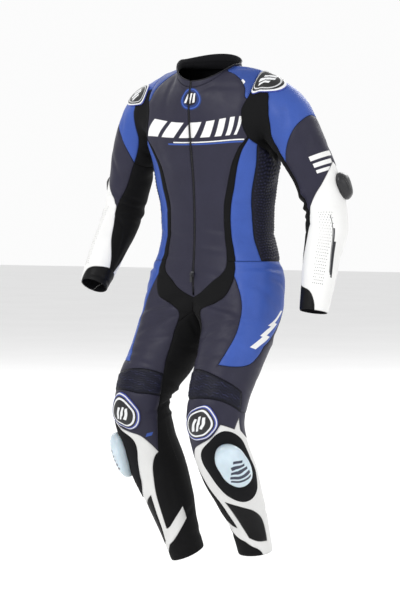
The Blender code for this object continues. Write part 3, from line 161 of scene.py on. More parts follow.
REACH = {"out": 17, "turn": 60, "level": 140, "round": 26, "along": 78}
AROUND = {"trunk": 240, "sleeve": 360}
TURN_MM = {"trunk": 2.1, "sleeve": 1.0}
WRAP = {"trunk": (-30, 210), "sleeve": (-90, 270)}
FACING = {"trunk": -1, "sleeve": 1}

# ---------------------------------------------------------------- seams and panels, as in the solids
TRUNK_SEAMS = {
    "yoke_front": ((71, -14), (70, 16), (66, 54), (61, 82), (56, 98), (60, 116)),
    "yoke_back": ((112, -14), (114, 16), (120, 54), (125, 84), (122, 112)),
    "chest_side": ((58, 156), (50, 180), (41, 194), (36, 220), (32, 276), (30, 336), (30, 395), (31, 440),
                   (31, 490), (28, 530), (20, 556), (9, 590), (0, 606)),
    "strip_side": ((62, 150), (52, 184), (44, 206), (40, 250), (38, 318), (37, 388), (38, 430), (39, 475),
                   (39, 504)),
    "blue_side": ((74, 150), (62, 206), (62, 256), (60, 312), (63, 372), (66, 434), (68, 474), (70, 504)),
    "flank_back": ((126, 190), (124, 290), (120, 400), (118, 504)),
    "crotch_front": ((38, 504), (37, 556), (31, 608), (20, 636), (12, 666), (7, 694)),
    "hip_front": ((38, 504), (37, 536), (42, 566), (48, 602), (53, 662), (54, 724), (51, 772), (44, 826)),
    "hip_foot": ((44, 826), (63, 823), (78, 811), (87, 790), (92, 745)),
    "hip_back": ((92, 745), (106, 690), (115, 620), (117, 560), (116, 504)),
    "seat_foot": ((110, 676), (136, 690), (162, 676), (180, 655)),
    "leg_front": ((7, 694), (4, 720), (1, 760), (-3, 806), (-12, 864), (-19, 926), (-15, 990), (-5, 1062)),
    "leg_back": ((180, 655), (185, 720), (187, 850), (186, 960), (176, 1020), (152, 1070), (146, 1200),
                 (148, 1345)),
    "ribs_top": ((-16, 842), (0, 838), (14, 838), (28, 842), (42, 850), (56, 858), (70, 866), (84, 876)),
    "ribs_side": ((84, 876), (88, 900), (90, 924)),
    "ribs_foot": ((90, 924), (76, 913), (60, 905), (46, 902), (31, 902), (16, 904), (0, 903), (-22, 906)),
    "knee_back": ((90, 924), (130, 934), (192, 938)),
    "shin_top": ((-5, 1062), (3, 1034), (14, 1009), (30, 994), (48, 978), (61, 953)),
    "shin_spike": ((61, 953), (71, 959), (82, 968)),
    "shin_outer": ((93, 975), (108, 1004), (130, 1034), (170, 1080)),
    "shin_inner": ((-5, 1062), (2, 1070), (10, 1092), (17, 1130), (24, 1172), (28, 1222), (30, 1262)),
    "flash_top": ((30, 1262), (22, 1258), (4, 1236), (-14, 1214)),
    "flash_foot": ((-18, 1250), (-6, 1264), (6, 1278), (22, 1294), (38, 1305)),
    "hem_top": ((38, 1305), (50, 1318), (62, 1327), (70, 1336), (73, 1345)),
    "lower_side": ((33, 1167), (53, 1187), (74, 1215), (87, 1252), (90, 1286), (91, 1314)),
    "lower_foot": ((91, 1314), (64, 1306), (48, 1294)),
    "lower_inner": ((48, 1294), (42, 1262), (39, 1222), (36, 1190), (33, 1167)),
}
TRUNK_PANELS = (
    ("thigh", ((-30, CROTCH), (0, CROTCH), (0, COLLAR_TOP), (180, COLLAR_TOP), (180, CROTCH), (210, CROTCH),
               (210, HEM), (-30, HEM))),
    ("flank", ((30, 90), (140, 90), (126, 190), "flank_back", (30, 504))),
    ("back", ((112, -14), (180, -14), (180, 504), "-flank_back", (116, 150), (112, 90))),
    ("side_strip", ((0, 150), "blue_side", (0, 504))),
    ("strip", ((0, 150), "strip_side", (0, 504))),
    ("seat", ((100, 504), (180, 504), "-seat_foot", (100, 676))),
    ("hip", ("hip_front", "hip_foot", "hip_back")),
    ("crotch", ((0, 504), "crotch_front", (0, 655))),
    ("front", ((0, -14), "yoke_front", "chest_side")),
    ("yoke", ("yoke_front", (66, 150), (120, 150), "-yoke_back")),
    ("collar", ((0, COLLAR_TOP), (180, COLLAR_TOP), (180, -14), (0, -14))),
    ("knee", ((-30, 885), (60, 885), "knee_back", (192, 1100), (-30, 1100))),
    ("ribs", ("ribs_top", "ribs_side", "ribs_foot")),
    ("shin", ("shin_top", "shin_spike", (90, 940), "shin_outer", (170, 1345), (73, 1345), "-hem_top",
              "-flash_foot", "-flash_top", "-shin_inner")),
    ("inner_leg", ("leg_front", "shin_inner", "flash_top", "flash_foot", "hem_top", (-30, 1345), (-30, 655),
                   (0, 655))),
    ("inner_leg", ("leg_back", (210, 1345), (210, 655))),
    ("shin_lower", ("lower_side", "lower_foot", "lower_inner")),
)
SLEEVE_SEAMS = {
    "head": tuple((turn, 0) for turn in range(-90, 271, 15)),
    "stretch_edge": ((32, 0), (37, 46), (62, 62), (90, 76), (110, 100), (118, 137), (118, 184)),
    "cap_foot": ((118, 184), (98, 160), (78, 142), (56, 128), (30, 119), (0, 114), (-30, 119), (-56, 128),
                 (-78, 146), (-90, 154)),
    "cap_foot_back": ((270, 154), (258, 166), (238, 184)),
    "stretch_back": ((238, 184), (237, 90), (232, 0)),
    "stretch_foot": ((118, 184), (150, 190), (205, 190), (238, 184)),
    "elbow_back": ((-90, 296), (-60, 266), (-36, 238), (-10, 221)),
    "elbow_front": ((-10, 221), (20, 240), (50, 266), (78, 294), (100, 332), (108, 362)),
    "elbow_behind": ((252, 362), (260, 332), (270, 296)),
    "inner_front": ((118, 184), (117, 220), (115, 277), (107, 335), (108, 366), (117, 405), (132, 457),
                    (156, 506), (170, 550)),
    "inner_back": ((190, 550), (204, 506), (228, 457), (243, 405), (252, 366), (253, 335), (245, 277),
                   (243, 220), (238, 184)),
    "cuff_front": ((54, 605), (60, 586), (80, 562), (130, 546), (180, 534), (230, 546), (270, 559)),
    "cuff_back": ((-90, 559), (-80, 562), (-60, 586), (-54, 605)),
}
SLEEVE_PANELS = (
    ("forearm", ("head", (270, CUFF), (-90, CUFF))),
    ("upper_arm", ((-90, 0), "elbow_back", "elbow_front", "elbow_behind", (270, 0))),
    ("stretch", ("stretch_edge", "stretch_foot", "stretch_back")),
    ("cap", ((-90, 0), "stretch_edge", "cap_foot")),
    ("cap", ((270, 0), "cap_foot_back", "stretch_back")),
    ("inner_sleeve", ("inner_front", "inner_back", "-stretch_foot")),
    ("cuff", ("cuff_front", (270, 605))),
    ("cuff", ("cuff_back", (-90, 605))),
)
SEAMS = {"trunk": TRUNK_SEAMS, "sleeve": SLEEVE_SEAMS}
PANELS = {"trunk": TRUNK_PANELS, "sleeve": SLEEVE_PANELS}
ACROSS_MIDDLE = ("back", "seat", "crotch", "collar", "collar_lining")

# How finely the charts are cut, in millimetres.
SEAM_STEP = 6.0
SEAM_ROWS = (1.1, 2.4, 4.6)     # rows of points beside a seam
GRID = 5.6
ZIP_HALF = 2.6
ZIP_FOOT = 600
LINING_LEVELS = (-38, 14)
LINING_FROM = 6
LINING_DEPTH = 2.0

# Which panel has which node, leather or cloth, and thread.
PIECES = (
    ("front", "front", "navy_leather", "navy"),
    ("yoke", "yoke", "blue_leather", "blue"),
    ("strip", "strip", "black_stretch", None),
    ("side_strip", "side_strip", "blue_leather", "blue"),
    ("flank", "flank", "navy_leather", None),
    ("back", "back", "navy_leather", "navy"),
    ("seat", "seat", "navy_leather", "navy"),
    ("hip", "hip", "blue_leather", "blue"),
    ("crotch", "crotch", "black_stretch", None),
    ("collar", "collar", "navy_leather", "navy"),
    ("thigh", "thigh", "navy_leather", "navy"),
    ("ribs", "knee_ribs", "navy_leather", None),
    ("knee", "knee", "navy_leather", "navy"),
    ("inner_leg", "inner_leg", "black_stretch", None),
    ("shin", "shin", "white_leather", "white"),
    ("shin_lower", "shin_lower", "black_leather", "black"),
    ("stretch", "armhole_stretch", "black_stretch", None),
    ("cap", "sleeve_cap", "blue_leather", "blue"),
    ("upper_arm", "upper_arm", "navy_leather", "navy"),
    ("forearm", "forearm", "white_leather", "white"),
    ("inner_sleeve", "inner_sleeve", "black_stretch", None),
    ("cuff", "cuff", "black_leather", "black"),
)

# Creases: side (1 the suit's left, -1 its right, 0 both), turn and level, half length and half width in
# mm, the angle the length lies at (0 round the body, 90 along it), height in mm (negative for a trough)
# and how far its ends bow.
CREASES = {
    "trunk": (
        (0, 22, 622, 46, 15, 38, -4.5, 0), (0, 30, 662, 60, 16, 30, 4.0, 0),
        (0, 150, 650, 60, 16, -28, -4.0, 0), (0, 120, 512, 55, 15, 10, -4.0, 0),
        (0, 150, 470, 60, 16, 14, 4.0, 0), (0, 182, 905, 70, 14, 8, -5.0, 0),
        (0, 184, 940, 70, 14, -6, -4.0, 0), (0, 104, 300, 50, 15, -30, -3.5, 0),
        (0, 140, 330, 70, 18, 22, -3.5, 0),
        # front of the chest and belly
        (1, 20, 210, 60, 13, 78, -1.2, 4), (-1, 26, 240, 70, 14, 96, -1.2, -4),
        (1, 22, 420, 44, 9, 12, -1.6, 3), (-1, 18, 440, 40, 9, -16, -1.8, -3),
        (1, 14, 474, 34, 8, 8, 1.4, 2), (-1, 22, 490, 44, 9, -8, -1.5, 3), (1, 24, 545, 36, 8, 22, -1.8, 2),
        (-1, 16, 560, 36, 8, -26, -1.8, -2),
        # neck and yokes
        (1, 84, 30, 34, 7, 74, -1.6, 3), (-1, 90, 40, 36, 7, 104, -1.6, -3),
        (1, 50, 40, 40, 9, 50, -1.4, 4), (-1, 46, 30, 44, 9, 130, -1.6, -4), (0, 30, 10, 36, 8, 8, -1.0, 3),
        # beside the armholes
        (1, 56, 190, 34, 8, 56, -2.0, 3), (-1, 56, 200, 40, 8, 118, -2.2, -3),
        (0, 122, 176, 46, 9, 58, -2.6, 4), (0, 132, 214, 52, 10, 34, -2.2, 5),
        (0, 116, 238, 40, 9, 24, 2.0, 4),
        # waist at the side
        (1, 52, 352, 30, 7, 6, -1.5, 2), (1, 50, 396, 30, 7, -8, -1.6, 2),
        (-1, 50, 372, 32, 7, 10, -1.7, -2), (1, 52, 446, 30, 7, 12, -1.8, 2),
        (-1, 52, 430, 30, 7, -12, -1.6, 2),
        # hip, under the waist seam
        (1, 74, 521, 62, 6.5, 4, -3.4, 4), (1, 76, 537, 60, 8, 7, 2.2, 5), (1, 92, 556, 52, 7, 30, -2.6, 6),
        (1, 66, 572, 40, 8, 24, -2.0, 4), (1, 84, 604, 46, 10, 40, -1.6, 5),
        (1, 64, 640, 48, 10, 64, -1.2, 4), (-1, 72, 524, 58, 7, -6, -3.0, 4),
        (-1, 80, 545, 52, 8, 14, 2.0, -4), (-1, 86, 582, 46, 8, 34, -2.2, 4),
        (-1, 66, 600, 44, 9, 48, -1.6, 4), (1, 74, 780, 46, 8, 14, -1.4, -4),
        # groin and thigh
        (1, 49, 708, 34, 6, -40, -2.2, 4), (1, 46, 734, 34, 6.5, -36, -2.0, 5),
        (1, 34, 700, 40, 7, -30, 1.8, 4), (1, 30, 760, 48, 8, -20, -1.6, 5),
        (1, 38, 800, 50, 8, -12, -1.6, 4), (1, 18, 744, 40, 7, -34, -1.8, 3),
        (-1, 22, 690, 38, 6.5, 44, -2.4, 4), (-1, 34, 716, 42, 7, 40, -1.8, 4),
        (-1, 24, 752, 46, 8, 22, -1.6, -4), (-1, 40, 796, 50, 8, 12, -1.4, 4),
        (-1, 60, 740, 60, 12, 78, -1.2, 3), (1, 20, 826, 40, 6, 4, -1.6, 3),
        (-1, 24, 822, 44, 6, -4, -1.6, 3), (0, 200, 700, 46, 9, 34, -2.4, 4),
        (0, 222, 690, 40, 9, -30, -2.2, 4), (0, 214, 736, 46, 9, 12, -2.0, 4),
        (0, 226, 800, 46, 10, -10, -1.6, 4),
        # seat and back
        (0, 164, 528, 54, 10, 6, -2.8, 6), (0, 158, 560, 50, 10, -12, 2.0, 5),
        (0, 172, 612, 40, 9, 40, -2.6, 4), (0, 142, 622, 56, 11, 24, -2.4, 8),
        (0, 152, 704, 66, 9, 12, -3.2, 10), (0, 132, 724, 56, 10, 4, 2.0, 8),
        (0, 160, 742, 60, 10, -8, -2.2, 8), (0, 168, 432, 56, 9, -6, -2.6, 5),
        (0, 160, 400, 60, 10, 10, -2.2, 6), (0, 172, 366, 50, 10, -8, -1.8, 5),
        (0, 150, 284, 70, 12, 26, -2.0, 8), (0, 134, 120, 56, 11, 70, -2.0, 6),
        (0, 164, 100, 60, 12, 84, -1.4, 5), (0, 170, 44, 46, 9, 6, -1.6, 5),
        (0, 134, 440, 46, 8, 18, -2.4, 4),
        # behind the knee
        (0, 168, 884, 60, 9, 14, -3.0, 6), (0, 194, 872, 54, 9, -8, 2.4, 5),
        (0, 174, 922, 64, 7, 2, -3.4, 5), (0, 200, 926, 50, 7, 14, -3.0, 4),
        (0, 164, 962, 56, 9, -12, -2.6, 5), (0, 198, 968, 46, 9, 8, 2.2, 4),
        (0, 140, 850, 46, 9, 26, -2.0, 4), (0, 138, 990, 42, 9, -24, -1.8, 4),
        (0, 222, 905, 44, 8, -8, -2.4, 4), (0, 224, 950, 40, 8, 8, -2.0, 4),
        # shin, calf and ankle
        (1, 96, 1120, 60, 11, 70, -1.2, 4), (-1, 40, 1120, 60, 11, 96, -1.2, -4),
        (0, 140, 1160, 56, 11, 78, -1.6, 4), (0, 174, 1180, 60, 12, 84, -1.4, -4),
        (1, 110, 1240, 46, 8, 28, -1.8, 4), (0, 160, 1286, 50, 8, 8, -2.2, 4),
        (0, 196, 1300, 46, 8, -10, -2.0, 4), (1, 4, 1290, 40, 7, 14, -1.6, 3),
        (-1, 12, 1296, 40, 7, -12, -1.8, 3), (1, 76, 1318, 36, 7, -8, -1.4, 3),
        (0, 216, 1240, 50, 9, 20, -1.6, 4), (0, 0, 1170, 60, 11, 78, -1.2, 4),
    ),
    "sleeve": (
        (0, 150, 305, 44, 11, 12, -4.0, 0), (0, 150, 335, 44, 11, -8, -4.0, 0),
        (0, 118, 276, 40, 12, 22, 3.0, 0), (0, 205, 215, 44, 13, -20, -3.5, 0),
        # elbow, inside and round it
        (1, 168, 366, 40, 8, 14, -2.8, 4), (-1, 170, 362, 42, 8, -12, -3.2, 4),
        (1, 128, 322, 30, 6, 8, 2.2, 3), (-1, 132, 320, 30, 6, -6, 2.4, 3),
        (0, 196, 320, 36, 7, -8, -2.8, 4), (0, 222, 346, 34, 7, -18, -2.4, 4),
        (0, 236, 300, 36, 8, -30, -2.0, 4), (1, 92, 300, 30, 6, 34, -2.0, 3),
        (-1, 88, 310, 34, 6, 30, -2.2, 3), (1, 66, 332, 34, 7, 24, -1.6, 3),
        (-1, 60, 346, 34, 7, 20, -1.8, 3), (0, 128, 390, 34, 7, 30, -2.0, 3),
        (1, 30, 330, 34, 7, 10, -1.4, 3), (-1, 36, 372, 34, 7, 6, -1.6, 3),
        # armpit and head of the sleeve
        (0, 150, 60, 34, 7, 62, -2.6, 3), (0, 176, 90, 38, 8, 84, -2.8, 3),
        (0, 204, 60, 38, 8, 108, -2.6, 3), (1, 112, 44, 34, 7, 52, -2.0, 3),
        (-1, 116, 52, 34, 7, 58, -2.2, 3), (0, 160, 150, 44, 8, 18, -2.4, 4),
        (0, 196, 170, 40, 8, -22, -2.2, 4), (1, 66, 100, 34, 9, 62, -1.6, 4),
        (-1, 60, 108, 34, 9, 70, -1.6, 4), (0, 318, 110, 40, 10, 100, -1.6, 4),
        (0, 290, 60, 40, 9, 120, -1.8, 4),
        # upper arm and forearm
        (1, 44, 190, 40, 9, 36, -1.4, 4), (-1, 62, 206, 40, 8, 44, -1.6, 4),
        (0, 300, 200, 46, 10, -30, -1.6, 4), (0, 280, 252, 40, 9, -12, -1.8, 4),
        (1, 74, 420, 40, 9, 58, -1.2, 4), (-1, 76, 452, 40, 9, 60, -1.2, 4),
        (1, 60, 520, 30, 8, 30, -1.2, 3), (0, 296, 420, 44, 9, -44, -1.4, 4),
        (0, 250, 470, 36, 8, 70, -1.4, 3), (0, 170, 440, 44, 8, 78, -2.0, 3),
        (0, 196, 500, 40, 8, 98, -1.8, 3), (1, 110, 560, 26, 6, 10, -1.6, 3),
        (-1, 130, 580, 28, 6, -8, -1.6, 3), (0, 200, 586, 28, 6, 6, -1.6, 3),
        (0, 340, 560, 34, 8, 20, -1.0, 3),
    ),
}

# Ribbed panels: pitch and height of the ribs in mm, the first crest, the last, how unevenly they run, and
# the spacing of the points across and along.
RIBS = {
    "ribs": {"pitch": 6.2, "height": 2.4, "first": 842, "last": 908, "wobble": 2.3, "fade": 7,
             "turns": (-24, 92), "step": (4.0, 1.25), "drop": 34},
    "flank": {"pitch": 7.4, "height": 2.3, "first": 110, "last": 500, "wobble": 1.7, "fade": 6,
              "turns": (56, 128), "step": (2.2, 1.3), "drop": 0},
}
RIBS_BEND = (14, 74)     # turn at which the ribs start to drop, and how far round they drop
TUFT = 9.5               # spacing of the flank's puckers round the body

# Pieces lying on the panels, as in the solids: piece, side (1 the left, -1 the right, 0 both), chart,
# turn and level of its middle, and how far its outline lies from there, in mm, at every 30 degrees from
# straight up the chart round by higher turns.
PAD_GAP = 0.35
PADS = (
    ("knee_cup", 1, "trunk", 33, 950, (33, 40, 45, 52, 41, 35, 34, 41, 50, 48, 39, 32)),
    ("knee_cup", -1, "trunk", 33, 950, (40, 48, 50, 47, 36, 30, 31, 44, 53, 52, 40, 36)),
    ("slider_patch", 0, "trunk", 65.7, 1072, (104, 94, 77, 72, 86, 106, 104, 88, 74, 76, 99, 96)),
    ("knee_slider", 0, "trunk", 66.2, 1057, (60, 52, 43, 43, 50, 62, 61, 49, 41, 40, 50, 61)),
    ("shoulder_cup", 1, "sleeve", 20, 36, (25, 31, 26, 20, 22, 27, 28, 28, 27, 22, 22, 23)),
    ("shoulder_cup", -1, "sleeve", 37, 51, (23, 21, 20, 20, 22, 24, 24, 23, 21, 19, 19, 22)),
    ("elbow_slider", 0, "sleeve", -22, 282, (33, 35, 34, 29, 29, 29, 29, 31, 33, 31, 34, 35)),
)
# Each piece's section, from the middle of its top to the foot of its wall: share of the outline, height
# in mm.
PROFILES = {
    "knee_cup": ((0.0, 10.4), (0.2, 10.3), (0.4, 10.0), (0.58, 9.5), (0.66, 9.1), (0.685, 8.4), (0.715, 8.3),
                 (0.74, 8.7), (0.775, 8.5), (0.79, 7.8), (0.81, 7.8), (0.83, 8.2), (0.88, 7.8), (0.93, 7.0),
                 (0.965, 5.6), (0.99, 3.6), (1.0, 1.6), (1.0, 0.2), (0.99, 0.0)),
    "slider_patch": ((0.0, 1.9), (0.3, 1.9), (0.6, 1.9), (0.8, 1.9), (0.9, 1.95), (0.93, 1.6), (0.945, 1.5),
                     (0.96, 1.7), (0.98, 1.75), (0.993, 1.4), (1.0, 0.7), (1.0, 0.1), (0.99, 0.0)),
    "knee_slider": ((0.0, 31.0), (0.2, 30.8), (0.4, 30.0), (0.55, 28.8), (0.68, 26.8), (0.76, 24.6),
                    (0.8, 22.9), (0.83, 22.3), (0.88, 20.8), (0.94, 17.0), (0.98, 12.6), (1.0, 8.0),
                    (1.0, 2.4), (0.985, 1.6), (0.985, 0.2), (0.97, 0.0)),
    "shoulder_cup": ((0.0, 8.6), (0.2, 8.5), (0.4, 8.1), (0.6, 7.4), (0.74, 6.6), (0.8, 6.0), (0.825, 5.3),
                     (0.85, 5.2), (0.87, 5.6), (0.92, 5.2), (0.96, 4.4), (0.985, 3.0), (1.0, 1.4), (1.0, 0.2),
                     (0.98, 0.0)),
    "elbow_slider": ((0.0, 25.0), (0.15, 24.9), (0.3, 24.7), (0.42, 24.2), (0.5, 23.7), (0.58, 22.9),
                     (0.66, 21.8), (0.72, 20.6), (0.76, 19.0), (0.82, 17.4), (0.9, 14.2), (0.96, 11.0),
                     (1.0, 7.6), (1.0, 2.2), (0.98, 1.6), (0.98, 0.2), (0.96, 0.0)),
}
PAD_SIDES = 72
PAD_BASE = {"knee_slider": 2 * PAD_GAP + 1.8}

SLIDER_LEVEL = 540
TOOTH = (3.1, 1.5, 1.5)


# ---------------------------------------------------------------- the skin
def monotone_slopes(x, y):
    """Slopes of a monotone cubic through the rows: flat rows stay flat, and nothing overshoots."""
    step = np.diff(x)[:, None]
    rise = np.diff(y, axis=0) / step
    slope = np.zeros_like(y)
    slope[0] = rise[0]
    slope[-1] = rise[-1]
    before, after = rise[:-1], rise[1:]
    w1 = 2 * step[1:] + step[:-1]
    w2 = step[1:] + 2 * step[:-1]
    same = before * after > 0
    mean = (w1 + w2) / (w1 / np.where(same, before, 1) + w2 / np.where(same, after, 1))
    slope[1:-1] = np.where(same, mean, 0)
    return slope


class Sections:
    """A table of sections, read as smooth curves of its first column."""

    def __init__(self, columns, rows):
        table = np.array(rows, float)
        self.columns = columns[1:]
        self.at = table[:, 0]
        self.values = table[:, 1:]
        self.slopes = monotone_slopes(self.at, self.values)

    def read(self, level):
        level = np.clip(np.asarray(level, float), self.at[0], self.at[-1])
        row = np.clip(np.searchsorted(self.at, level, side="right") - 1, 0, len(self.at) - 2)
        width = (self.at[row + 1] - self.at[row])[..., None]
        t = (level[..., None] - self.at[row][..., None]) / width
        a, b = self.values[row], self.values[row + 1]
        m, n = self.slopes[row] * width, self.slopes[row + 1] * width
        got = (
            a * (1 + 2 * t) * (1 - t) ** 2
            + m * t * (1 - t) ** 2
            + b * t * t * (3 - 2 * t)
            - n * t * t * (1 - t)
        )
        return {name: got[..., i] for i, name in enumerate(self.columns)}


def smooth(t):
    """0 to 1 with no slope at either end."""
    t = np.clip(t, 0, 1)
    return t * t * (3 - 2 * t)


def rounded(angle, square):
    """(sideways, forwards) of a unit superellipse at this angle: 0 is forwards, 90 is sideways."""
    s, c = np.sin(np.radians(angle)), np.cos(np.radians(angle))
    return np.sign(s) * np.abs(s) ** (2 / square), np.sign(c) * np.abs(c) ** (2 / square)


TORSO_SECTIONS = Sections(TORSO_COLUMNS, TORSO)
LEG_SECTIONS = {1: Sections(LEG_COLUMNS, LEG_LEFT), -1: Sections(LEG_COLUMNS, LEG_RIGHT)}
ARMHOLE_CURVE = Sections(ARMHOLE_COLUMNS, ARMHOLE)
SLEEVE_SECTIONS = {1: Sections(SLEEVE_COLUMNS, SLEEVE_LEFT), -1: Sections(SLEEVE_COLUMNS, SLEEVE_RIGHT)}


def torso_points(turn, level):
    row = TORSO_SECTIONS.read(level)
    outer = np.clip(turn, 0, 180)
    side, ahead = rounded(outer, row["square"])
    depth = np.where(ahead > 0, row["middle"] - row["front"], row["back"] - row["middle"])
    y = row["middle"] - ahead * depth
    slope = np.abs(ahead) ** 1.5
    z_end = np.where(ahead > 0, row["z_front"], row["z_back"])
    z = row["z_side"] + (z_end - row["z_side"]) * slope
    inner = smooth((turn - 180) / 60)
    y = np.where(turn > 180, row["back"] + (row["front"] - row["back"]) * inner, y)
    return np.stack([row["half_width"] * side * (turn <= 180), y, z], -1)


def leg_points(side, turn, level):
    row = LEG_SECTIONS[side].read(level)
    angle = turn * 1.5 - 45
    across, ahead = rounded(angle, row["square"])
    across = across * np.where(across > 0, row["out"], row["inn"])
    ahead = ahead * np.where(ahead > 0, row["front"], row["back"])
    pitch, roll = np.radians(row["pitch"]), np.radians(row["roll"])
    x = row["x"] + across * np.cos(roll)
    y = row["y"] - ahead * np.cos(pitch)
    z = row["z"] + across * np.sin(roll) + ahead * np.sin(pitch)
    return np.stack([x, y, z], -1)


def trunk_points(side, turn, level):
    """Outer skin of one half of the body, in metres."""
    turn, level = np.broadcast_arrays(np.asarray(turn, float) % AROUND["trunk"], np.asarray(level, float))
    torso = torso_points(turn, level)
    leg = leg_points(side, turn, np.maximum(level, LEGS_START))
    part = smooth((level - LEGS_START) / (LEGS_APART - LEGS_START))
    point = torso + (leg - torso) * part[..., None]
    edge = np.where(turn > 90, 180.0, 0.0)
    edge_x = np.where(turn > 180, leg[..., 0], leg_points(side, edge, np.maximum(level, LEGS_START))[..., 0])
    near = np.where(turn > 180, 1, smooth(1 - np.minimum(turn, np.abs(180 - turn)) / 45))
    hold = np.clip(1 - (level - CROTCH) / 70, 0, 1) ** 1.5
    point[..., 0] -= part * edge_x * near * hold
    between = np.sin(3 * np.radians(np.clip(turn - 180, 0, 60)))
    sag = 34 * between * part * (1 - smooth((level - CROTCH) / 160))
    point[..., 2] -= np.where(turn > 180, sag, 0)
    point[..., 0] *= side
    lean = COLLAR_LEAN * smooth((30 - level) / 70)
    point[..., 2] -= point[..., 0] * lean
    if side < 0:
        u = (turn - REACH["turn"]) / REACH["round"]
        v = (level - REACH["level"]) / REACH["along"]
        push = REACH["out"] * np.exp(-u * u - v * v)
        point[..., 0] -= push * 0.8
        point[..., 1] -= push * 0.6
    return point * MM


def armhole(angle):
    """(turn, level) of the armhole at this angle round it."""
    angle = np.asarray(angle, float) % 360
    row = ARMHOLE_CURVE.read(np.where(angle > 180, 360 - angle, angle))
    return ARMHOLE_TURN - np.where(angle > 180, -1, 1) * row["ahead"], row["level"]


def sleeve_points(side, turn, level):
    """Outer skin of one sleeve, in metres. turn 0 is the outside of the arm, 90 its front, 180 its inside."""
    turn, level = np.broadcast_arrays(np.asarray(turn, float) % 360, np.asarray(level, float))
    row = SLEEVE_SECTIONS[side].read(level)
    ahead, out = rounded(turn + row["twist"], row["square"])
    out = out * np.where(out > 0, row["out"], row["inn"])
    ahead = ahead * np.where(ahead > 0, row["front"], row["back"])
    lean, swing = np.radians(row["lean"]), np.radians(row["swing"])
    down = np.stack([np.cos(lean) * np.cos(swing), -np.sin(swing), -np.sin(lean) * np.cos(swing)], -1)
    outward = np.stack([np.sin(lean), np.zeros_like(lean), np.cos(lean)], -1)
    forward = np.cross(down, outward)
    forward *= -np.sign(forward[..., 1:2])
    centre = np.stack([row["x"], row["y"], row["z"]], -1)
    ring = centre + out[..., None] * outward + ahead[..., None] * forward
    ring[..., 0] *= side
    ease = smooth(level / SLEEVE_HEAD)[..., None]
    hole = armhole_points(side, turn) / MM
    return (hole + (ring - hole) * ease) * MM


def armhole_points(side, angle):
    """Points on the armhole's outline, which runs straight from one station to the next."""
    station = np.asarray(angle, float) * ARMHOLE_STATIONS / 360
    before = np.floor(station + 1e-6)
    part = np.clip(station - before, 0, 1)[..., None]
    a = trunk_points(side, *armhole(before * 360 / ARMHOLE_STATIONS))
    b = trunk_points(side, *armhole((before + 1) * 360 / ARMHOLE_STATIONS))
    return a + (b - a) * part


BARE = {"trunk": trunk_points, "sleeve": sleeve_points}


def bare_normals(chart, side, turn, level):
    """Unit normals of a chart's skin before its creases, pointing out of the suit."""
    turn, level = np.broadcast_arrays(np.asarray(turn, float), np.asarray(level, float))
    points_of = BARE[chart]
    before, after = turn - 0.5, turn + 0.5
    on_torso = (chart == "trunk") & (level <= CROTCH) & (turn >= 0) & (turn <= 180)
    middle = on_torso & ((turn < 0.01) | (turn > 179.99))
    before = np.where(on_torso, np.maximum(before, 0.0), before)
    after = np.where(on_torso, np.minimum(after, 180.0), after)
    above = np.where((level > CROTCH) | (chart == "sleeve"), np.maximum(level - 1, 0), level - 1)
    above = np.where((chart == "trunk") & (level >= CROTCH), np.maximum(level - 1, CROTCH), above)
    along = points_of(side, after, level) - points_of(side, before, level)
    down = points_of(side, turn, level + 1) - points_of(side, turn, above)
    normal = np.cross(along, down) * FACING[chart] * side
    normal[..., 0] = np.where(middle, 0, normal[..., 0])
    return normal / np.maximum(np.linalg.norm(normal, axis=-1, keepdims=True), 1e-12)


def armhole_normals(side, angle):
    """Normals along the armhole, half way between the trunk's and the sleeve's."""
    step = 360 / ARMHOLE_STATIONS
    before = np.floor(np.asarray(angle, float) / step + 1e-6)
    part = np.clip(angle / step - before, 0, 1)[..., None]
    ends = []
    for at in (before * step, (before + 1) * step):
        trunk = bare_normals("trunk", side, *armhole(at))
        ends.append(trunk + bare_normals("sleeve", side, at, np.zeros(np.shape(at))))
    both = ends[0] + (ends[1] - ends[0]) * part
    return both / np.maximum(np.linalg.norm(both, axis=-1, keepdims=True), 1e-12)


def on_armhole(turn, level):
    """(angle, distance) of trunk chart points from the armhole's outline."""
    step = 360 / ARMHOLE_STATIONS
    t, v = armhole(np.arange(0, 360, step))
    a = np.stack([t * TURN_MM["trunk"], v], -1)
    run = np.roll(a, -1, axis=0) - a
    away = np.stack([turn * TURN_MM["trunk"], level], -1)[..., None, :] - a
    part = np.clip((away * run).sum(-1) / (run ** 2).sum(-1), 0, 1)
    gap = np.linalg.norm(away - run * part[..., None], axis=-1)
    best = gap.argmin(-1)
    part = np.take_along_axis(part, best[..., None], -1)[..., 0]
    return (best + part) * step, gap.min(-1)


def crease_height(chart, side, turn, level, depth=1.0):
    """How far the creases move the skin outwards, in metres."""
    low, _ = WRAP[chart]
    turn = (turn - low) % AROUND[chart] + low
    height = np.zeros(np.shape(turn))
    for where, at_turn, at_level, along, across, lie, rise, bow in CREASES[chart]:
        if where not in (0, side):
            continue
        a = math.radians(lie)
        x = turn - at_turn
        x = (x - AROUND[chart] * np.round(x / AROUND[chart])) * TURN_MM[chart]
        y = level - at_level
        u = (x * math.cos(a) + y * math.sin(a)) / along
        v = (y * math.cos(a) - x * math.sin(a) - bow * u * u) / across
        shape = np.exp(-u * u - v * v)
        if bow:
            shape = 1.25 * shape - 0.3 * np.exp(-u * u - v * v / 5)
        height = height + rise * MM * depth * shape
    return height


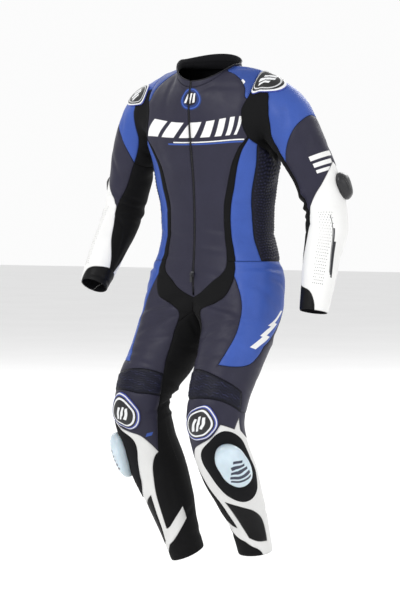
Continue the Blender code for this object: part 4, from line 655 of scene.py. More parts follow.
def skin_frame(chart, side, flats, settings=None):
    """(points, normals) of the creased skin at flat chart points, exact on the middle plane."""
    turn, level = flats[:, 0] / TURN_MM[chart], flats[:, 1]
    points = BARE[chart](side, turn, level)
    normals = bare_normals(chart, side, turn, level)
    depth = settings.crease_depth if settings else 1.0
    raised = crease_height(chart, side, turn, level, depth)
    if chart == "sleeve":
        angle, edge = turn % 360, level < 0.01
    else:
        angle, gap = on_armhole(turn, level)
        edge = gap < 0.05
    raised = raised * (smooth(level / 30) if chart == "sleeve" else smooth(gap / 30))
    if edge.any():
        points[edge] = armhole_points(side, angle[edge])
        normals[edge] = armhole_normals(side, angle[edge])
    points = points + normals * raised[:, None]
    if chart == "trunk":
        centre_line = (np.abs(turn) < 0.01) | (np.abs(turn - 180) < 0.01)
        crotch_line = (level > CROTCH - 0.01) & ((turn < 0.01) | (turn > 179.99))
        points[(level <= CROTCH + 0.01) & (centre_line | crotch_line), 0] = 0
    return points, normals


# ---------------------------------------------------------------- the charts, cut into panels
def flat(chart, point):
    return (point[0] * TURN_MM[chart], point[1])


def smooth_path(points, step):
    """A smooth curve through flat points, with points no further apart than step."""
    p = np.array(points, float)
    if len(p) == 2:
        count = max(1, math.ceil(np.linalg.norm(p[1] - p[0]) / step))
        return [tuple(p[0] + (p[1] - p[0]) * i / count) for i in range(count + 1)]
    chord = np.maximum(np.linalg.norm(np.diff(p, axis=0), axis=1), 1e-9)
    knots = np.concatenate([[0], np.cumsum(np.sqrt(chord))])
    slope = np.zeros_like(p)
    for i in range(1, len(p) - 1):
        a, b = knots[i] - knots[i - 1], knots[i + 1] - knots[i]
        before, after = (p[i] - p[i - 1]) / a, (p[i + 1] - p[i]) / b
        slope[i] = (before * b + after * a) / (a + b)
    slope[0] = 1.5 * (p[1] - p[0]) / (knots[1] - knots[0]) - 0.5 * slope[1]
    slope[-1] = 1.5 * (p[-1] - p[-2]) / (knots[-1] - knots[-2]) - 0.5 * slope[-2]
    path = [tuple(p[0])]
    for i in range(len(p) - 1):
        h = knots[i + 1] - knots[i]
        count = max(1, math.ceil(chord[i] / step))
        for k in range(1, count + 1):
            t = k / count
            at = (
                p[i] * (1 + 2 * t) * (1 - t) ** 2
                + slope[i] * h * t * (1 - t) ** 2
                + p[i + 1] * t * t * (3 - 2 * t)
                - slope[i + 1] * h * t * t * (1 - t)
            )
            path.append(tuple(at))
    return path


def outline(chart, items):
    """The closed outline of a panel, in flat millimetres."""
    path = []
    corner = None
    for item in items:
        if isinstance(item, str):
            rows = SEAMS[chart][item.lstrip("-")]
            curve = smooth_path([flat(chart, row) for row in rows], SEAM_STEP)
            piece = curve[::-1] if item.startswith("-") else curve
        else:
            piece = [flat(chart, item)]
        if corner is not None:
            path += smooth_path([corner, piece[0]], SEAM_STEP)[1:-1]
        if path and np.hypot(path[-1][0] - piece[0][0], path[-1][1] - piece[0][1]) < 0.01:
            piece = piece[1:]
        path += piece
        corner = path[-1]
    if np.hypot(path[-1][0] - path[0][0], path[-1][1] - path[0][1]) < 0.01:
        path = path[:-1]
    path += smooth_path([path[-1], path[0]], SEAM_STEP)[1:-1]
    return path


def inside(path, x, y):
    """Which flat points lie inside a closed path."""
    found = np.zeros(np.shape(x), bool)
    for (xa, ya), (xb, yb) in zip(path, path[1:] + path[:1]):
        if ya == yb:
            continue
        crosses = (ya > y) != (yb > y)
        found ^= crosses & (x < xa + (y - ya) * (xb - xa) / (yb - ya))
    return found


def zip_edge(level):
    """Turn at which the trunk's skin is half the zip's width from the middle plane."""
    row = TORSO_SECTIONS.read(level)
    return np.degrees(np.arcsin((ZIP_HALF / row["half_width"]) ** (row["square"] / 2)))


def chart_outlines(chart):
    """(label, outline) of every panel in the order they are laid, and last the armhole and the zip."""
    found = [(name, outline(chart, items)) for name, items in PANELS[chart]]
    if chart == "trunk":
        levels = np.append(np.arange(COLLAR_TOP, ZIP_FOOT, SEAM_STEP), ZIP_FOOT)
        side = [flat(chart, at) for at in zip(zip_edge(levels), levels)]
        found.append(("zip", [(-4.0, float(ZIP_FOOT)), (-4.0, float(COLLAR_TOP))] + side))
        angles = np.arange(0, 360, 360 / ARMHOLE_STATIONS)
        found.append((None, [flat(chart, at) for at in zip(*armhole(angles))]))
    return found


def triangulate(points, edges):
    """Delaunay triangles of flat points that keep the edges given."""
    got = delaunay_2d_cdt([Vector(p) for p in points], edges, [], 0, 1e-3)
    return [tuple(v) for v in got[0]], [tuple(e) for e in got[1]], [tuple(f) for f in got[2]]


class Cloth:
    """A chart cut into panels: flat points, triangles, each one's panel, each point's distance to a seam."""

    def __init__(self, chart):
        self.chart = chart
        self.outlines = chart_outlines(chart)
        self.names = [name for name, _ in self.outlines]
        points, edges = self.find_seams()
        self.lay_points(points, edges)

    def labels(self, x, y):
        found = np.full(len(x), -1)
        for name, path in self.outlines:
            found[inside(path, x, y)] = -1 if name is None else self.names.index(name)
        found[~inside(self.outlines[0][1], x, y)] = -1
        return found

    def find_seams(self):
        """The points and edges at which one panel ends."""
        points, edges = [], []
        for _, path in self.outlines:
            start = len(points)
            points += path
            edges += [(start + i, start + (i + 1) % len(path)) for i in range(len(path))]
        points, _, faces = triangulate(points, edges)
        at = np.array(points)
        middle = at[np.array(faces)].mean(1)
        label = self.labels(middle[:, 0], middle[:, 1])
        beside = {}
        for face, name in zip(faces, label):
            for a, b in zip(face, face[1:] + face[:1]):
                beside.setdefault((min(a, b), max(a, b)), []).append(int(name))
        kept = [e for e, names in beside.items() if len(names) == 1 and names[0] >= 0 or len(set(names)) > 1]
        used = sorted({i for e in kept for i in e})
        place = {old: new for new, old in enumerate(used)}
        edges = [(place[a], place[b]) for a, b in kept]
        points = [points[i] for i in used]
        low, high = (turn * TURN_MM[self.chart] for turn in WRAP[self.chart])
        samples = []
        for a, b in edges:
            p, q = np.array(points[a]), np.array(points[b])
            if abs(p[0] - q[0]) < 1e-6 and (abs(p[0] - low) < 1e-6 or abs(p[0] - high) < 1e-6):
                continue
            if self.chart == "trunk" and abs(p[0] - q[0]) < 1e-6 and self.open_middle(p, q):
                continue
            count = max(1, math.ceil(np.linalg.norm(q - p)))
            samples += [(p + (q - p) * k / count, (p, q)) for k in range(count + 1)]
        self.tree = kdtree.KDTree(len(samples))
        for i, (at, _) in enumerate(samples):
            self.tree.insert((float(at[0]), float(at[1]), 0), i)
        self.tree.balance()
        self.seam_edges = [(points[a], points[b]) for a, b in edges]
        return points, edges

    def open_middle(self, p, q):
        """Whether an edge lies on the middle line where one panel runs on to the other half."""
        level = (p[1] + q[1]) / 2
        if abs(p[0]) < 1e-6:
            return ZIP_FOOT < level < CROTCH
        return abs(p[0] - 180 * TURN_MM["trunk"]) < 1e-6 and level < CROTCH

    def seam_distance(self, flats):
        return np.array([self.tree.find((float(x), float(y), 0))[2] for x, y in flats])

    def lay_points(self, points, edges):
        """Rows of points beside the seams, close rows on the ribs and a staggered grid elsewhere."""
        extras = []
        if self.chart == "trunk":
            low, high = LINING_LEVELS
            rim = [(LINING_FROM, low), (180, low), (180, high), (LINING_FROM, high)]
            extras.append(outline("trunk", rim))
        for path in extras:
            start = len(points)
            points = points + path
            edges = edges + [(start + i, start + (i + 1) % len(path)) for i in range(len(path))]
        found = []
        a = np.array([e[0] for e in self.seam_edges])
        b = np.array([e[1] for e in self.seam_edges])
        run = b - a
        length = np.linalg.norm(run, axis=1)
        keep = length > 1.5
        middle, run, length = ((a + b) / 2)[keep], run[keep], length[keep]
        side = np.stack([-run[:, 1], run[:, 0]], -1) / length[:, None]
        for row in SEAM_ROWS:
            for sign in (1, -1):
                at = middle + side * row * sign
                gap = self.seam_distance(at)
                found.append(at[gap > row * 0.86])
        found.append(self.rib_points())
        low, high = np.min(self.outlines[0][1], axis=0), np.max(self.outlines[0][1], axis=0)
        grid = []
        for i, v in enumerate(np.arange(low[1] + 2, high[1], GRID * 0.87)):
            grid += [(x, v) for x in np.arange(low[0] + GRID / 2 * (i % 2) + 1, high[0], GRID)]
        grid = np.array(grid)
        label = self.labels(grid[:, 0], grid[:, 1])
        ribbed = [self.names.index(name) for name in RIBS if name in self.names]
        grid = grid[(label >= 0) & ~np.isin(label, ribbed)]
        grid = grid[self.seam_distance(grid) > SEAM_ROWS[-1] + GRID * 0.45]
        found.append(grid)
        inner = np.concatenate([f for f in found if len(f)])
        inner = inner[self.labels(inner[:, 0], inner[:, 1]) >= 0]
        points, _, faces = triangulate(points + [(float(x), float(y)) for x, y in inner], edges)
        self.at = np.array(points)
        faces = np.array(faces)
        middle = self.at[faces].mean(1)
        label = self.labels(middle[:, 0], middle[:, 1])
        keep = label >= 0
        self.faces = faces[keep]
        self.label = np.array([self.names[i] for i in label[keep]])
        self.middle = middle[keep]
        self.gap = self.seam_distance(self.at)

    def rib_points(self):
        found = [np.zeros((0, 2))]
        for name, ribs in RIBS.items():
            if name not in self.names:
                continue
            across, along = ribs["step"]
            low, high = (turn * TURN_MM[self.chart] for turn in ribs["turns"])
            rows = np.arange(ribs["first"] - 8, ribs["last"] + 14, along)
            x, y = np.meshgrid(np.arange(low, high, across), rows)
            x[::2] += across / 2
            y = y + rib_drop(ribs, x / TURN_MM[self.chart])
            at = np.stack([x.ravel(), y.ravel()], -1)
            at = at[self.labels(at[:, 0], at[:, 1]) == self.names.index(name)]
            found.append(at[self.seam_distance(at) > SEAM_ROWS[-1] + 1.2])
        return np.concatenate(found)


CLOTHS = {}


def cloth(chart):
    if chart not in CLOTHS:
        CLOTHS[chart] = Cloth(chart)
    return CLOTHS[chart]


# ---------------------------------------------------------------- settings
def colour(label, value, about):
    return FloatVectorProperty(name=label, description=about, subtype="COLOR", size=3, min=0, max=1,
                               default=value)


def size(label, value, about, **more):
    return FloatProperty(name=label, description=about, subtype="DISTANCE", unit="LENGTH", default=value,
                         **more)


class LeatherSettings(bpy.types.PropertyGroup):
    """Leather and cloth of the panels."""

    navy: colour("Navy", (0.024, 0.023, 0.041), "Leather of the chest, back, thighs and upper arms")
    blue: colour("Blue", (0.040, 0.088, 0.350), "Leather of the yokes, hips and sleeve caps")
    black: colour("Black", (0.0035, 0.0035, 0.0040), "Leather of the cuffs and the lower shins")
    white: colour("White", (0.82, 0.82, 0.81), "Leather of the forearms")
    # painted shade: a darker copy of the white leather, for the shins
    shaded_white: colour("Shin grey", (0.70, 0.70, 0.69), "Leather of the shins")
    stretch: colour("Stretch", (0.0055, 0.0055, 0.0060), "Stretch cloth of the inner legs and sleeves")
    grain: size("Grain", 0.0011, "Size of the leather's grain", min=0.0004, max=0.004)
    roughness: FloatProperty(name="Roughness", description="Roughness of the leather", default=0.46,
                             min=0, max=1)


class SeamSettings(bpy.types.PropertyGroup):
    """Walls, seams and stitching."""

    wall: size("Leather", 0.0016, "Thickness of the leather", min=0.0005, max=0.003)
    gap: size("Seam gap", 0.0, "How far each panel stands back from its seam", min=0, max=0.001)
    dip: size("Seam dip", 0.0011, "How deep a panel's edge is turned under at a seam", min=0, max=0.003)
    puff: size("Puff", 0.00035, "How far the leather swells beside its stitching", min=0, max=0.002)
    pitch: size("Stitch pitch", 0.0038, "From one stitch to the next", min=0.002, max=0.01)
    thread: size("Thread", 0.00042, "Half the thread's thickness", min=0.0001, max=0.001)
    inset: size("Stitch inset", 0.0024, "From a seam to its row of stitches", min=0.001, max=0.01)


class CreaseSettings(bpy.types.PropertyGroup):
    """Folds and waves in the leather."""

    crease_depth: FloatProperty(name="Crease depth", description="How deep the creases are", default=1.4,
                                min=0, max=2)
    waves: size("Waves", 0.0011, "Height of the soft unevenness of worn leather", min=0, max=0.004)
    wave_size: size("Wave size", 0.055, "Length of that unevenness", min=0.01, max=0.3)


class TrimSettings(bpy.types.PropertyGroup):
    """Armour, sliders and the zip."""

    slider: colour("Slider", (0.57, 0.68, 0.75), "Plastic of the knee sliders")
    cup_white: colour("Cup white", (0.78, 0.79, 0.80), "Light rings of the cups")
    cup_blue: colour("Cup blue", (0.055, 0.075, 0.36), "Blue ring of the cups")
    tooth_pitch: size("Tooth pitch", 0.0029, "From one zip tooth to the next", min=0.002, max=0.006)


class StageSettings(bpy.types.PropertyGroup):
    """Floor, lights and camera."""

    floor: size("Floor", -1.47, "Height of the floor")
    azimuth: FloatProperty(name="Camera turn", subtype="ANGLE", default=math.radians(36),
                           description="How far the camera stands round to the suit's left")
    distance: size("Camera distance", 7.0, "From the camera to the suit", min=1)
    walls: FloatProperty(name="Walls", description="Brightness of the studio's walls", default=0.76, min=0)
    backdrop: FloatProperty(name="Backdrop", description="Brightness behind the suit", default=0.97, min=0)
    key: FloatProperty(name="Key light", description="Strength of the key light in watts", default=84, min=0)


GROUPS = {
    "suit_leather": LeatherSettings,
    "suit_seams": SeamSettings,
    "suit_creases": CreaseSettings,
    "suit_trim": TrimSettings,
    "suit_stage": StageSettings,
}


def settings(name):
    return getattr(bpy.context.scene, name)


# ---------------------------------------------------------------- finishes
class Finish:
    """One procedural material and short ways to add its nodes."""

    def __init__(self, name):
        self.material = bpy.data.materials.new(name)
        self.material.use_nodes = True
        self.tree = self.material.node_tree
        self.shader = self.tree.nodes["Principled BSDF"]

    def node(self, kind, inputs=None, **values):
        made = self.tree.nodes.new(kind)
        for name, value in values.items():
            setattr(made, name, value)
        for name, value in (inputs or {}).items():
            self.put(made.inputs[name], value)
        return made

    def put(self, socket, value):
        if isinstance(value, bpy.types.NodeSocket):
            self.tree.links.new(value, socket)
        else:
            socket.default_value = value

    def plus(self, a, b):
        return self.math("ADD", a, b)

    def minus(self, a, b):
        return self.math("SUBTRACT", a, b)

    def times(self, a, b):
        return self.math("MULTIPLY", a, b)

    def math(self, operation, a, b=0.0, c=0.0):
        made = self.node("ShaderNodeMath", {0: a, 1: b, 2: c}, operation=operation)
        return made.outputs[0]

    def mix(self, share, a, b):
        made = self.node("ShaderNodeMix", data_type="RGBA")
        self.put(made.inputs[0], share)
        for socket, value in ((made.inputs[6], a), (made.inputs[7], b)):
            self.put(socket, value if isinstance(value, bpy.types.NodeSocket) else (*value, 1))
        return made.outputs[2]

    def ramp(self, value, low, high, start=0.0, end=1.0):
        """value from low to high turned into start to end, and no further."""
        made = self.node("ShaderNodeMapRange", {0: value, 1: low, 2: high, 3: start, 4: end})
        return made.outputs[0]

    def place(self):
        return self.node("ShaderNodeTexCoord").outputs["Object"]

    def chart(self):
        """(u, v) of the piece's own chart map, in metres."""
        uv = self.node("ShaderNodeUVMap", uv_map="chart").outputs[0]
        parts = self.node("ShaderNodeSeparateXYZ", {0: uv})
        return parts.outputs[0], parts.outputs[1]

    def noise(self, scale, detail=2.0, vector=None):
        inputs = {"Vector": vector or self.place(), "Scale": scale, "Detail": detail}
        return self.node("ShaderNodeTexNoise", inputs).outputs[0]

    def cells(self, scale, feature="F1"):
        made = self.node("ShaderNodeTexVoronoi", {"Vector": self.place(), "Scale": scale}, feature=feature)
        return made.outputs["Distance"]

    def bump(self, height, strength, distance, normal=None):
        made = self.node("ShaderNodeBump", {"Height": height, "Strength": strength, "Distance": distance})
        if normal is not None:
            self.put(made.inputs["Normal"], normal)
        return made.outputs[0]

    def set(self, **values):
        for name, value in values.items():
            socket = self.shader.inputs[name.replace("_", " ").title().replace("Ior", "IOR")]
            if isinstance(value, tuple):
                value = (*value, 1)
            self.put(socket, value)
        return self.material


def tone(value, share):
    return tuple(min(1.0, v * share) for v in value)


def bars(finish, u, v, rows, bend=0.0, soft=0.0005):
    """A mask of plain slanted bars: rows of (middle u, middle v, half width, half height, slant)."""
    if bend:
        v = finish.minus(v, finish.times(finish.times(u, u), bend))
    mask = None
    for u0, v0, wide, high, slant in rows:
        y = finish.minus(v, v0)
        x = finish.plus(finish.minus(u, u0), finish.times(y, slant))
        in_x = finish.ramp(finish.math("ABSOLUTE", x), wide - soft, wide + soft, 1.0, 0.0)
        in_y = finish.ramp(finish.math("ABSOLUTE", y), high - soft, high + soft, 1.0, 0.0)
        part = finish.times(in_x, in_y)
        mask = part if mask is None else finish.math("MAXIMUM", mask, part)
    return mask


def distance(finish, x, y):
    return finish.math("SQRT", finish.plus(finish.times(x, x), finish.times(y, y)))


def rings(finish, u, v, centre, bands, soft=0.0005):
    """A mask of round bands: rows of (inner, outer) radius."""
    x, y = finish.minus(u, centre[0]), finish.minus(v, centre[1])
    away = distance(finish, x, y)
    mask = None
    for inner, outer in bands:
        part = finish.ramp(away, outer - soft, outer + soft, 1.0, 0.0)
        if inner > 0:
            part = finish.times(part, finish.ramp(away, inner - soft, inner + soft))
        mask = part if mask is None else finish.math("MAXIMUM", mask, part)
    return mask


def painted_seam_shade(finish, base):
    """base darkened by painted shade where a panel's edge turns under at its seam."""
    gap = finish.node("ShaderNodeAttribute", attribute_name="seam").outputs["Fac"]
    return finish.mix(finish.ramp(gap, 0.0002, 0.0016), tone_socket(finish, base, 0.42), base)


def tone_socket(finish, base, share):
    if not isinstance(base, bpy.types.NodeSocket):
        return tone(base, share)
    return finish.mix(1 - share, base, (0.0, 0.0, 0.0))


def leather(name, base, rough=None, prints=None, soil=0.1, gloss=0.2):
    """Grained leather with a soft change of tone, and prints of other colours on it."""
    look = settings("suit_leather")
    rough = look.roughness if rough is None else rough
    finish = Finish(name)
    patches = finish.noise(14, 3)
    worn = finish.mix(finish.ramp(patches, 0.34, 0.68), tone(base, 1 - soil), tone(base, 1 + soil))
    fine = finish.noise(420, 2)
    body = finish.mix(finish.ramp(fine, 0.3, 0.75, 0.0, 0.5), worn, tone(base, 1 + 2.2 * soil))
    if prints:
        u, v = finish.chart()
        for mask_of, paint in prints:
            body = finish.mix(mask_of(finish, u, v), body, paint)
    # painted shade along the seams
    body = painted_seam_shade(finish, body)
    grain = finish.cells(1 / look.grain)
    pebble = finish.noise(0.45 / look.grain, 3)
    normal = finish.bump(grain, 0.32, 0.00016)
    normal = finish.bump(pebble, 0.35, 0.0003, normal)
    shine = finish.ramp(finish.noise(60, 3), 0.3, 0.75, rough - 0.06, rough + 0.08)
    return finish.set(base_color=body, roughness=shine, normal=normal, specular_ior_level=gloss)


def ribbed_leather(name, base, valley, crest):
    """Leather gathered in ribs: painted shade between them and painted highlights in patches on their crests.
    """
    finish = Finish(name)
    relief = finish.node("ShaderNodeAttribute", attribute_name="relief").outputs["Fac"]
    patches = finish.ramp(finish.noise(260, 2), 0.42, 0.62)
    # painted highlights on the crests, in patches
    crest_highlight_mask = finish.times(finish.ramp(relief, 0.72, 1.0), patches)
    # painted shade in the valleys between the ribs
    body = finish.mix(finish.ramp(relief, 0.1, 0.7), tone(base, valley), base)
    body = finish.mix(crest_highlight_mask, body, tone(base, crest))
    normal = finish.bump(finish.cells(900), 0.35, 0.0002)
    normal = finish.bump(finish.noise(420, 3), 0.5, 0.0005, normal)
    return finish.set(base_color=body, roughness=0.5, normal=normal, specular_ior_level=0.2)


THREADS = 4200.0     # waves of the stretch cloth's weave, in radians to a metre


def stretch_cloth(name, base):
    """Matt, close-woven stretch cloth with a faint sheen."""
    finish = Finish(name)
    u, v = finish.chart()
    warp = finish.plus(u, finish.times(v, 0.5))
    weft = finish.minus(v, finish.times(u, 0.5))
    rib, weft = (finish.math("SINE", finish.times(way, THREADS)) for way in (warp, weft))
    weave = finish.plus(finish.times(rib, weft), finish.times(rib, 0.4))
    body = finish.mix(finish.ramp(weave, -1.2, 1.2), tone(base, 0.7), tone(base, 1.5))
    body = finish.mix(finish.ramp(finish.noise(9, 3), 0.3, 0.7), tone_socket(finish, body, 0.85), body)
    # painted shade along the seams
    body = painted_seam_shade(finish, body)
    normal = finish.bump(weave, 0.3, 0.00012)
    return finish.set(base_color=body, roughness=0.8, normal=normal, specular_ior_level=0.12,
                      sheen_weight=0.02)


def mesh_lining(name, base):
    """Black mesh lining, with rows of small holes."""
    finish = Finish(name)
    u, v = finish.chart()
    wave = finish.times(finish.math("SINE", finish.times(u, 2300.0)),
                        finish.math("SINE", finish.times(v, 2300.0)))
    body = finish.mix(finish.ramp(wave, -0.5, 0.6), tone(base, 0.35), tone(base, 1.4))
    normal = finish.bump(wave, 0.5, 0.0003)
    return finish.set(base_color=body, roughness=0.85, normal=normal, specular_ior_level=0.1)


def moulded(name, base, rough, scratch=0.3):
    """Moulded plastic with a fine texture and light scratches."""
    finish = Finish(name)
    patches = finish.noise(40, 4)
    body = finish.mix(finish.ramp(patches, 0.35, 0.7), tone(base, 0.93), tone(base, 1.05))
    stroke = finish.node("ShaderNodeMapping", {"Vector": finish.place(), "Rotation": (0.3, 0.5, 0.2),
                                               "Scale": (900.0, 60.0, 60.0)}).outputs[0]
    scratches = finish.noise(1.0, 4, stroke)
    shine = finish.ramp(scratches, 0.35, 0.75, rough - 0.05, rough + 0.14)
    normal = finish.bump(finish.noise(1400, 2), 0.1, 0.0001)
    normal = finish.bump(scratches, scratch * 0.3, 0.00008, normal)
    return finish.set(base_color=body, roughness=shine, normal=normal)


# Prints on the panels, as bars on the chart map in metres.
CHEST_BARS = (
    (-0.071, 0.116, 0.0165, 0.021, 0.42), (-0.031, 0.116, 0.0135, 0.021, 0.42),
    (0.003, 0.116, 0.0105, 0.021, 0.42), (0.031, 0.116, 0.0080, 0.021, 0.42),
    (0.054, 0.116, 0.0060, 0.021, 0.42), (0.072, 0.116, 0.0042, 0.021, 0.42),
    (0.087, 0.116, 0.0028, 0.021, 0.42),
)
CHEST_LINE = ((0.035, 0.150, 0.062, 0.0016, 0.0),)
CHEST_LINE_BLUE = ((0.030, 0.1555, 0.068, 0.0022, 0.0),)
BADGE = (0.006, 0.024)
BADGE_BARS = (
    (-0.006, 0.024, 0.0032, 0.013, 0.3), (0.006, 0.024, 0.0032, 0.015, 0.3),
    (0.018, 0.024, 0.0032, 0.013, 0.3),
)
KNEE_MARK = ((-0.002, 1.010, 0.010, 0.0042, 0.8),)
YOKE_DOT = ((0.1365, 0.064, 0.0042, 0.0058, 0.2),)
THIGH_BARS = (
    (0.206, 0.662, 0.0050, 0.024, 0.62), (0.193, 0.698, 0.0065, 0.024, 0.62),
    (0.178, 0.738, 0.0085, 0.024, 0.62),
)
ARM_BARS = (
    (0.020, 0.202, 0.034, 0.0055, 0.0), (0.024, 0.219, 0.028, 0.0048, 0.0),
    (0.030, 0.234, 0.021, 0.0038, 0.0),
)
FOREARM_BARS = (
    (0.034, 0.430, 0.0010, 0.075, 0.16), (0.027, 0.450, 0.0022, 0.060, 0.16),
    (0.019, 0.470, 0.0036, 0.046, 0.16),
)


def pin_dots(finish, u, v):
    """A mask of small dots in rows over the outer end of a yoke."""
    x, y = finish.times(u, 1250.0), finish.times(v, 1250.0)
    wave = finish.times(finish.math("SINE", finish.plus(x, y)),
                        finish.math("SINE", finish.minus(x, y)))
    where = finish.ramp(finish.math("ABSOLUTE", u), 0.118, 0.128)
    return finish.times(finish.times(finish.ramp(wave, -0.1, 0.3), where), 0.8)


def print_of(rows, bend=0.0, soft=0.0005, mirrored=False):
    """A mask of bars, on both sides alike where it is mirrored."""
    def mask(finish, u, v):
        return bars(finish, finish.math("ABSOLUTE", u) if mirrored else u, v, rows, bend, soft)
    return mask


def ring_of(centre, bands, soft=0.0005):
    return lambda finish, u, v: rings(finish, u, v, centre, bands, soft)


def cup_shell(name, base, bands):
    """A moulded cup with bands of other colours round its middle, read from its own map."""
    finish = Finish(name)
    u, v = finish.chart()
    body = finish.mix(finish.ramp(finish.noise(50, 3), 0.35, 0.7), tone(base, 0.9), tone(base, 1.08))
    for mask_of, paint in bands:
        body = finish.mix(mask_of(finish, u, v), body, paint)
    normal = finish.bump(finish.noise(900, 2), 0.12, 0.0001)
    shine = finish.ramp(finish.noise(120, 3), 0.3, 0.75, 0.3, 0.42)
    return finish.set(base_color=body, roughness=shine, normal=normal)


# Bars on the cups and sliders, as shares of their outline.
KNEE_CUP_BARS = (
    (-0.24, 0.04, 0.075, 0.30, 0.3), (0.02, 0.02, 0.075, 0.38, 0.3), (0.28, 0.0, 0.075, 0.28, 0.3),
)
SHOULDER_CUP_BARS = (
    (-0.26, 0.10, 0.085, 0.30, 0.5), (0.02, 0.06, 0.085, 0.38, 0.5), (0.30, 0.02, 0.085, 0.28, 0.5),
)
GROOVES = tuple((at, 0.0, 0.035, 0.62, 0.15) for at in (-0.42, -0.14, 0.14, 0.42))
SLIDER_BARS = (
    (0.02, 0.56, 0.44, 0.055, 0.3), (0.05, 0.36, 0.48, 0.070, 0.3), (0.08, 0.12, 0.44, 0.075, 0.3),
    (0.12, -0.12, 0.34, 0.070, 0.3), (0.16, -0.33, 0.22, 0.055, 0.3),
)


def slider_plastic(name):
    """Pale, slightly clear plastic of the knee sliders with plain grip bars on it."""
    trim = settings("suit_trim")
    finish = Finish(name)
    u, v = finish.chart()
    base = tuple(trim.slider)
    body = finish.mix(finish.ramp(finish.noise(30, 3), 0.35, 0.7), tone(base, 0.94), tone(base, 1.06))
    rim = finish.ramp(distance(finish, u, v), 0.82, 1.0, 0.0, 0.6)
    body = finish.mix(rim, body, tone(base, 0.62))
    bar = bars(finish, u, v, SLIDER_BARS, soft=0.012)
    body = finish.mix(bar, body, (0.020, 0.028, 0.055))
    normal = finish.bump(finish.noise(700, 3), 0.1, 0.0001)
    return finish.set(base_color=body, roughness=0.27, normal=normal, coat_weight=0.25, coat_roughness=0.15,
                      subsurface_weight=0.12, subsurface_scale=0.004)


def grooved_plastic(name, base, rough):
    """Moulded block with grip grooves across it, from its own map, with painted shade in the grooves."""
    finish = Finish(name)
    u, v = finish.chart()
    groove = bars(finish, u, v, GROOVES, soft=0.02)
    body = finish.mix(finish.ramp(finish.noise(60, 3), 0.35, 0.7), tone(base, 0.85), tone(base, 1.3))
    # painted shade in the grooves
    body = finish.mix(groove, body, tone(base, 0.35))
    normal = finish.bump(finish.minus(1.0, groove), 0.9, 0.0012)
    normal = finish.bump(finish.noise(1100, 2), 0.15, 0.0001, normal)
    shine = finish.ramp(finish.noise(120, 3), 0.35, 0.75, rough - 0.06, rough + 0.12)
    return finish.set(base_color=body, roughness=shine, normal=normal)


def hook_cloth(name, base):
    """Felted loop cloth that the knee slider is fixed to."""
    finish = Finish(name)
    fuzz = finish.noise(2200, 3)
    clumps = finish.noise(320, 3)
    body = finish.mix(finish.ramp(fuzz, 0.3, 0.7), tone(base, 0.7), tone(base, 1.8))
    normal = finish.bump(fuzz, 0.6, 0.0004)
    normal = finish.bump(clumps, 0.4, 0.0006, normal)
    return finish.set(base_color=body, roughness=0.92, normal=normal, specular_ior_level=0.1,
                      sheen_weight=0.03)


def thread_finish(name, base):
    finish = Finish(name)
    twist = finish.noise(2600, 1)
    body = finish.mix(finish.ramp(twist, 0.3, 0.7), tone(base, 0.75), tone(base, 1.2))
    return finish.set(base_color=body, roughness=0.6, sheen_weight=0.1)


def metal(name, base, rough):
    finish = Finish(name)
    shine = finish.ramp(finish.noise(500, 3), 0.3, 0.7, rough - 0.08, rough + 0.12)
    body = finish.mix(finish.ramp(finish.noise(160, 2), 0.35, 0.7), tone(base, 0.85), tone(base, 1.1))
    normal = finish.bump(finish.noise(1500, 2), 0.12, 0.0001)
    return finish.set(base_color=body, roughness=shine, normal=normal, metallic=1.0)


def tape_cloth(name, base):
    """Woven herringbone tape under the zip's teeth."""
    finish = Finish(name)
    u, v = finish.chart()
    slant = finish.plus(finish.times(finish.math("ABSOLUTE", u), 1.0), v)
    wave = finish.math("SINE", finish.times(slant, 5200.0))
    body = finish.mix(finish.ramp(wave, -1.0, 1.0), tone(base, 0.6), tone(base, 1.5))
    normal = finish.bump(wave, 0.4, 0.0002)
    return finish.set(base_color=body, roughness=0.7, normal=normal)


PRINT_WHITE = (0.84, 0.84, 0.83)
RIBBED_NAVY = (0.0075, 0.0080, 0.0215)


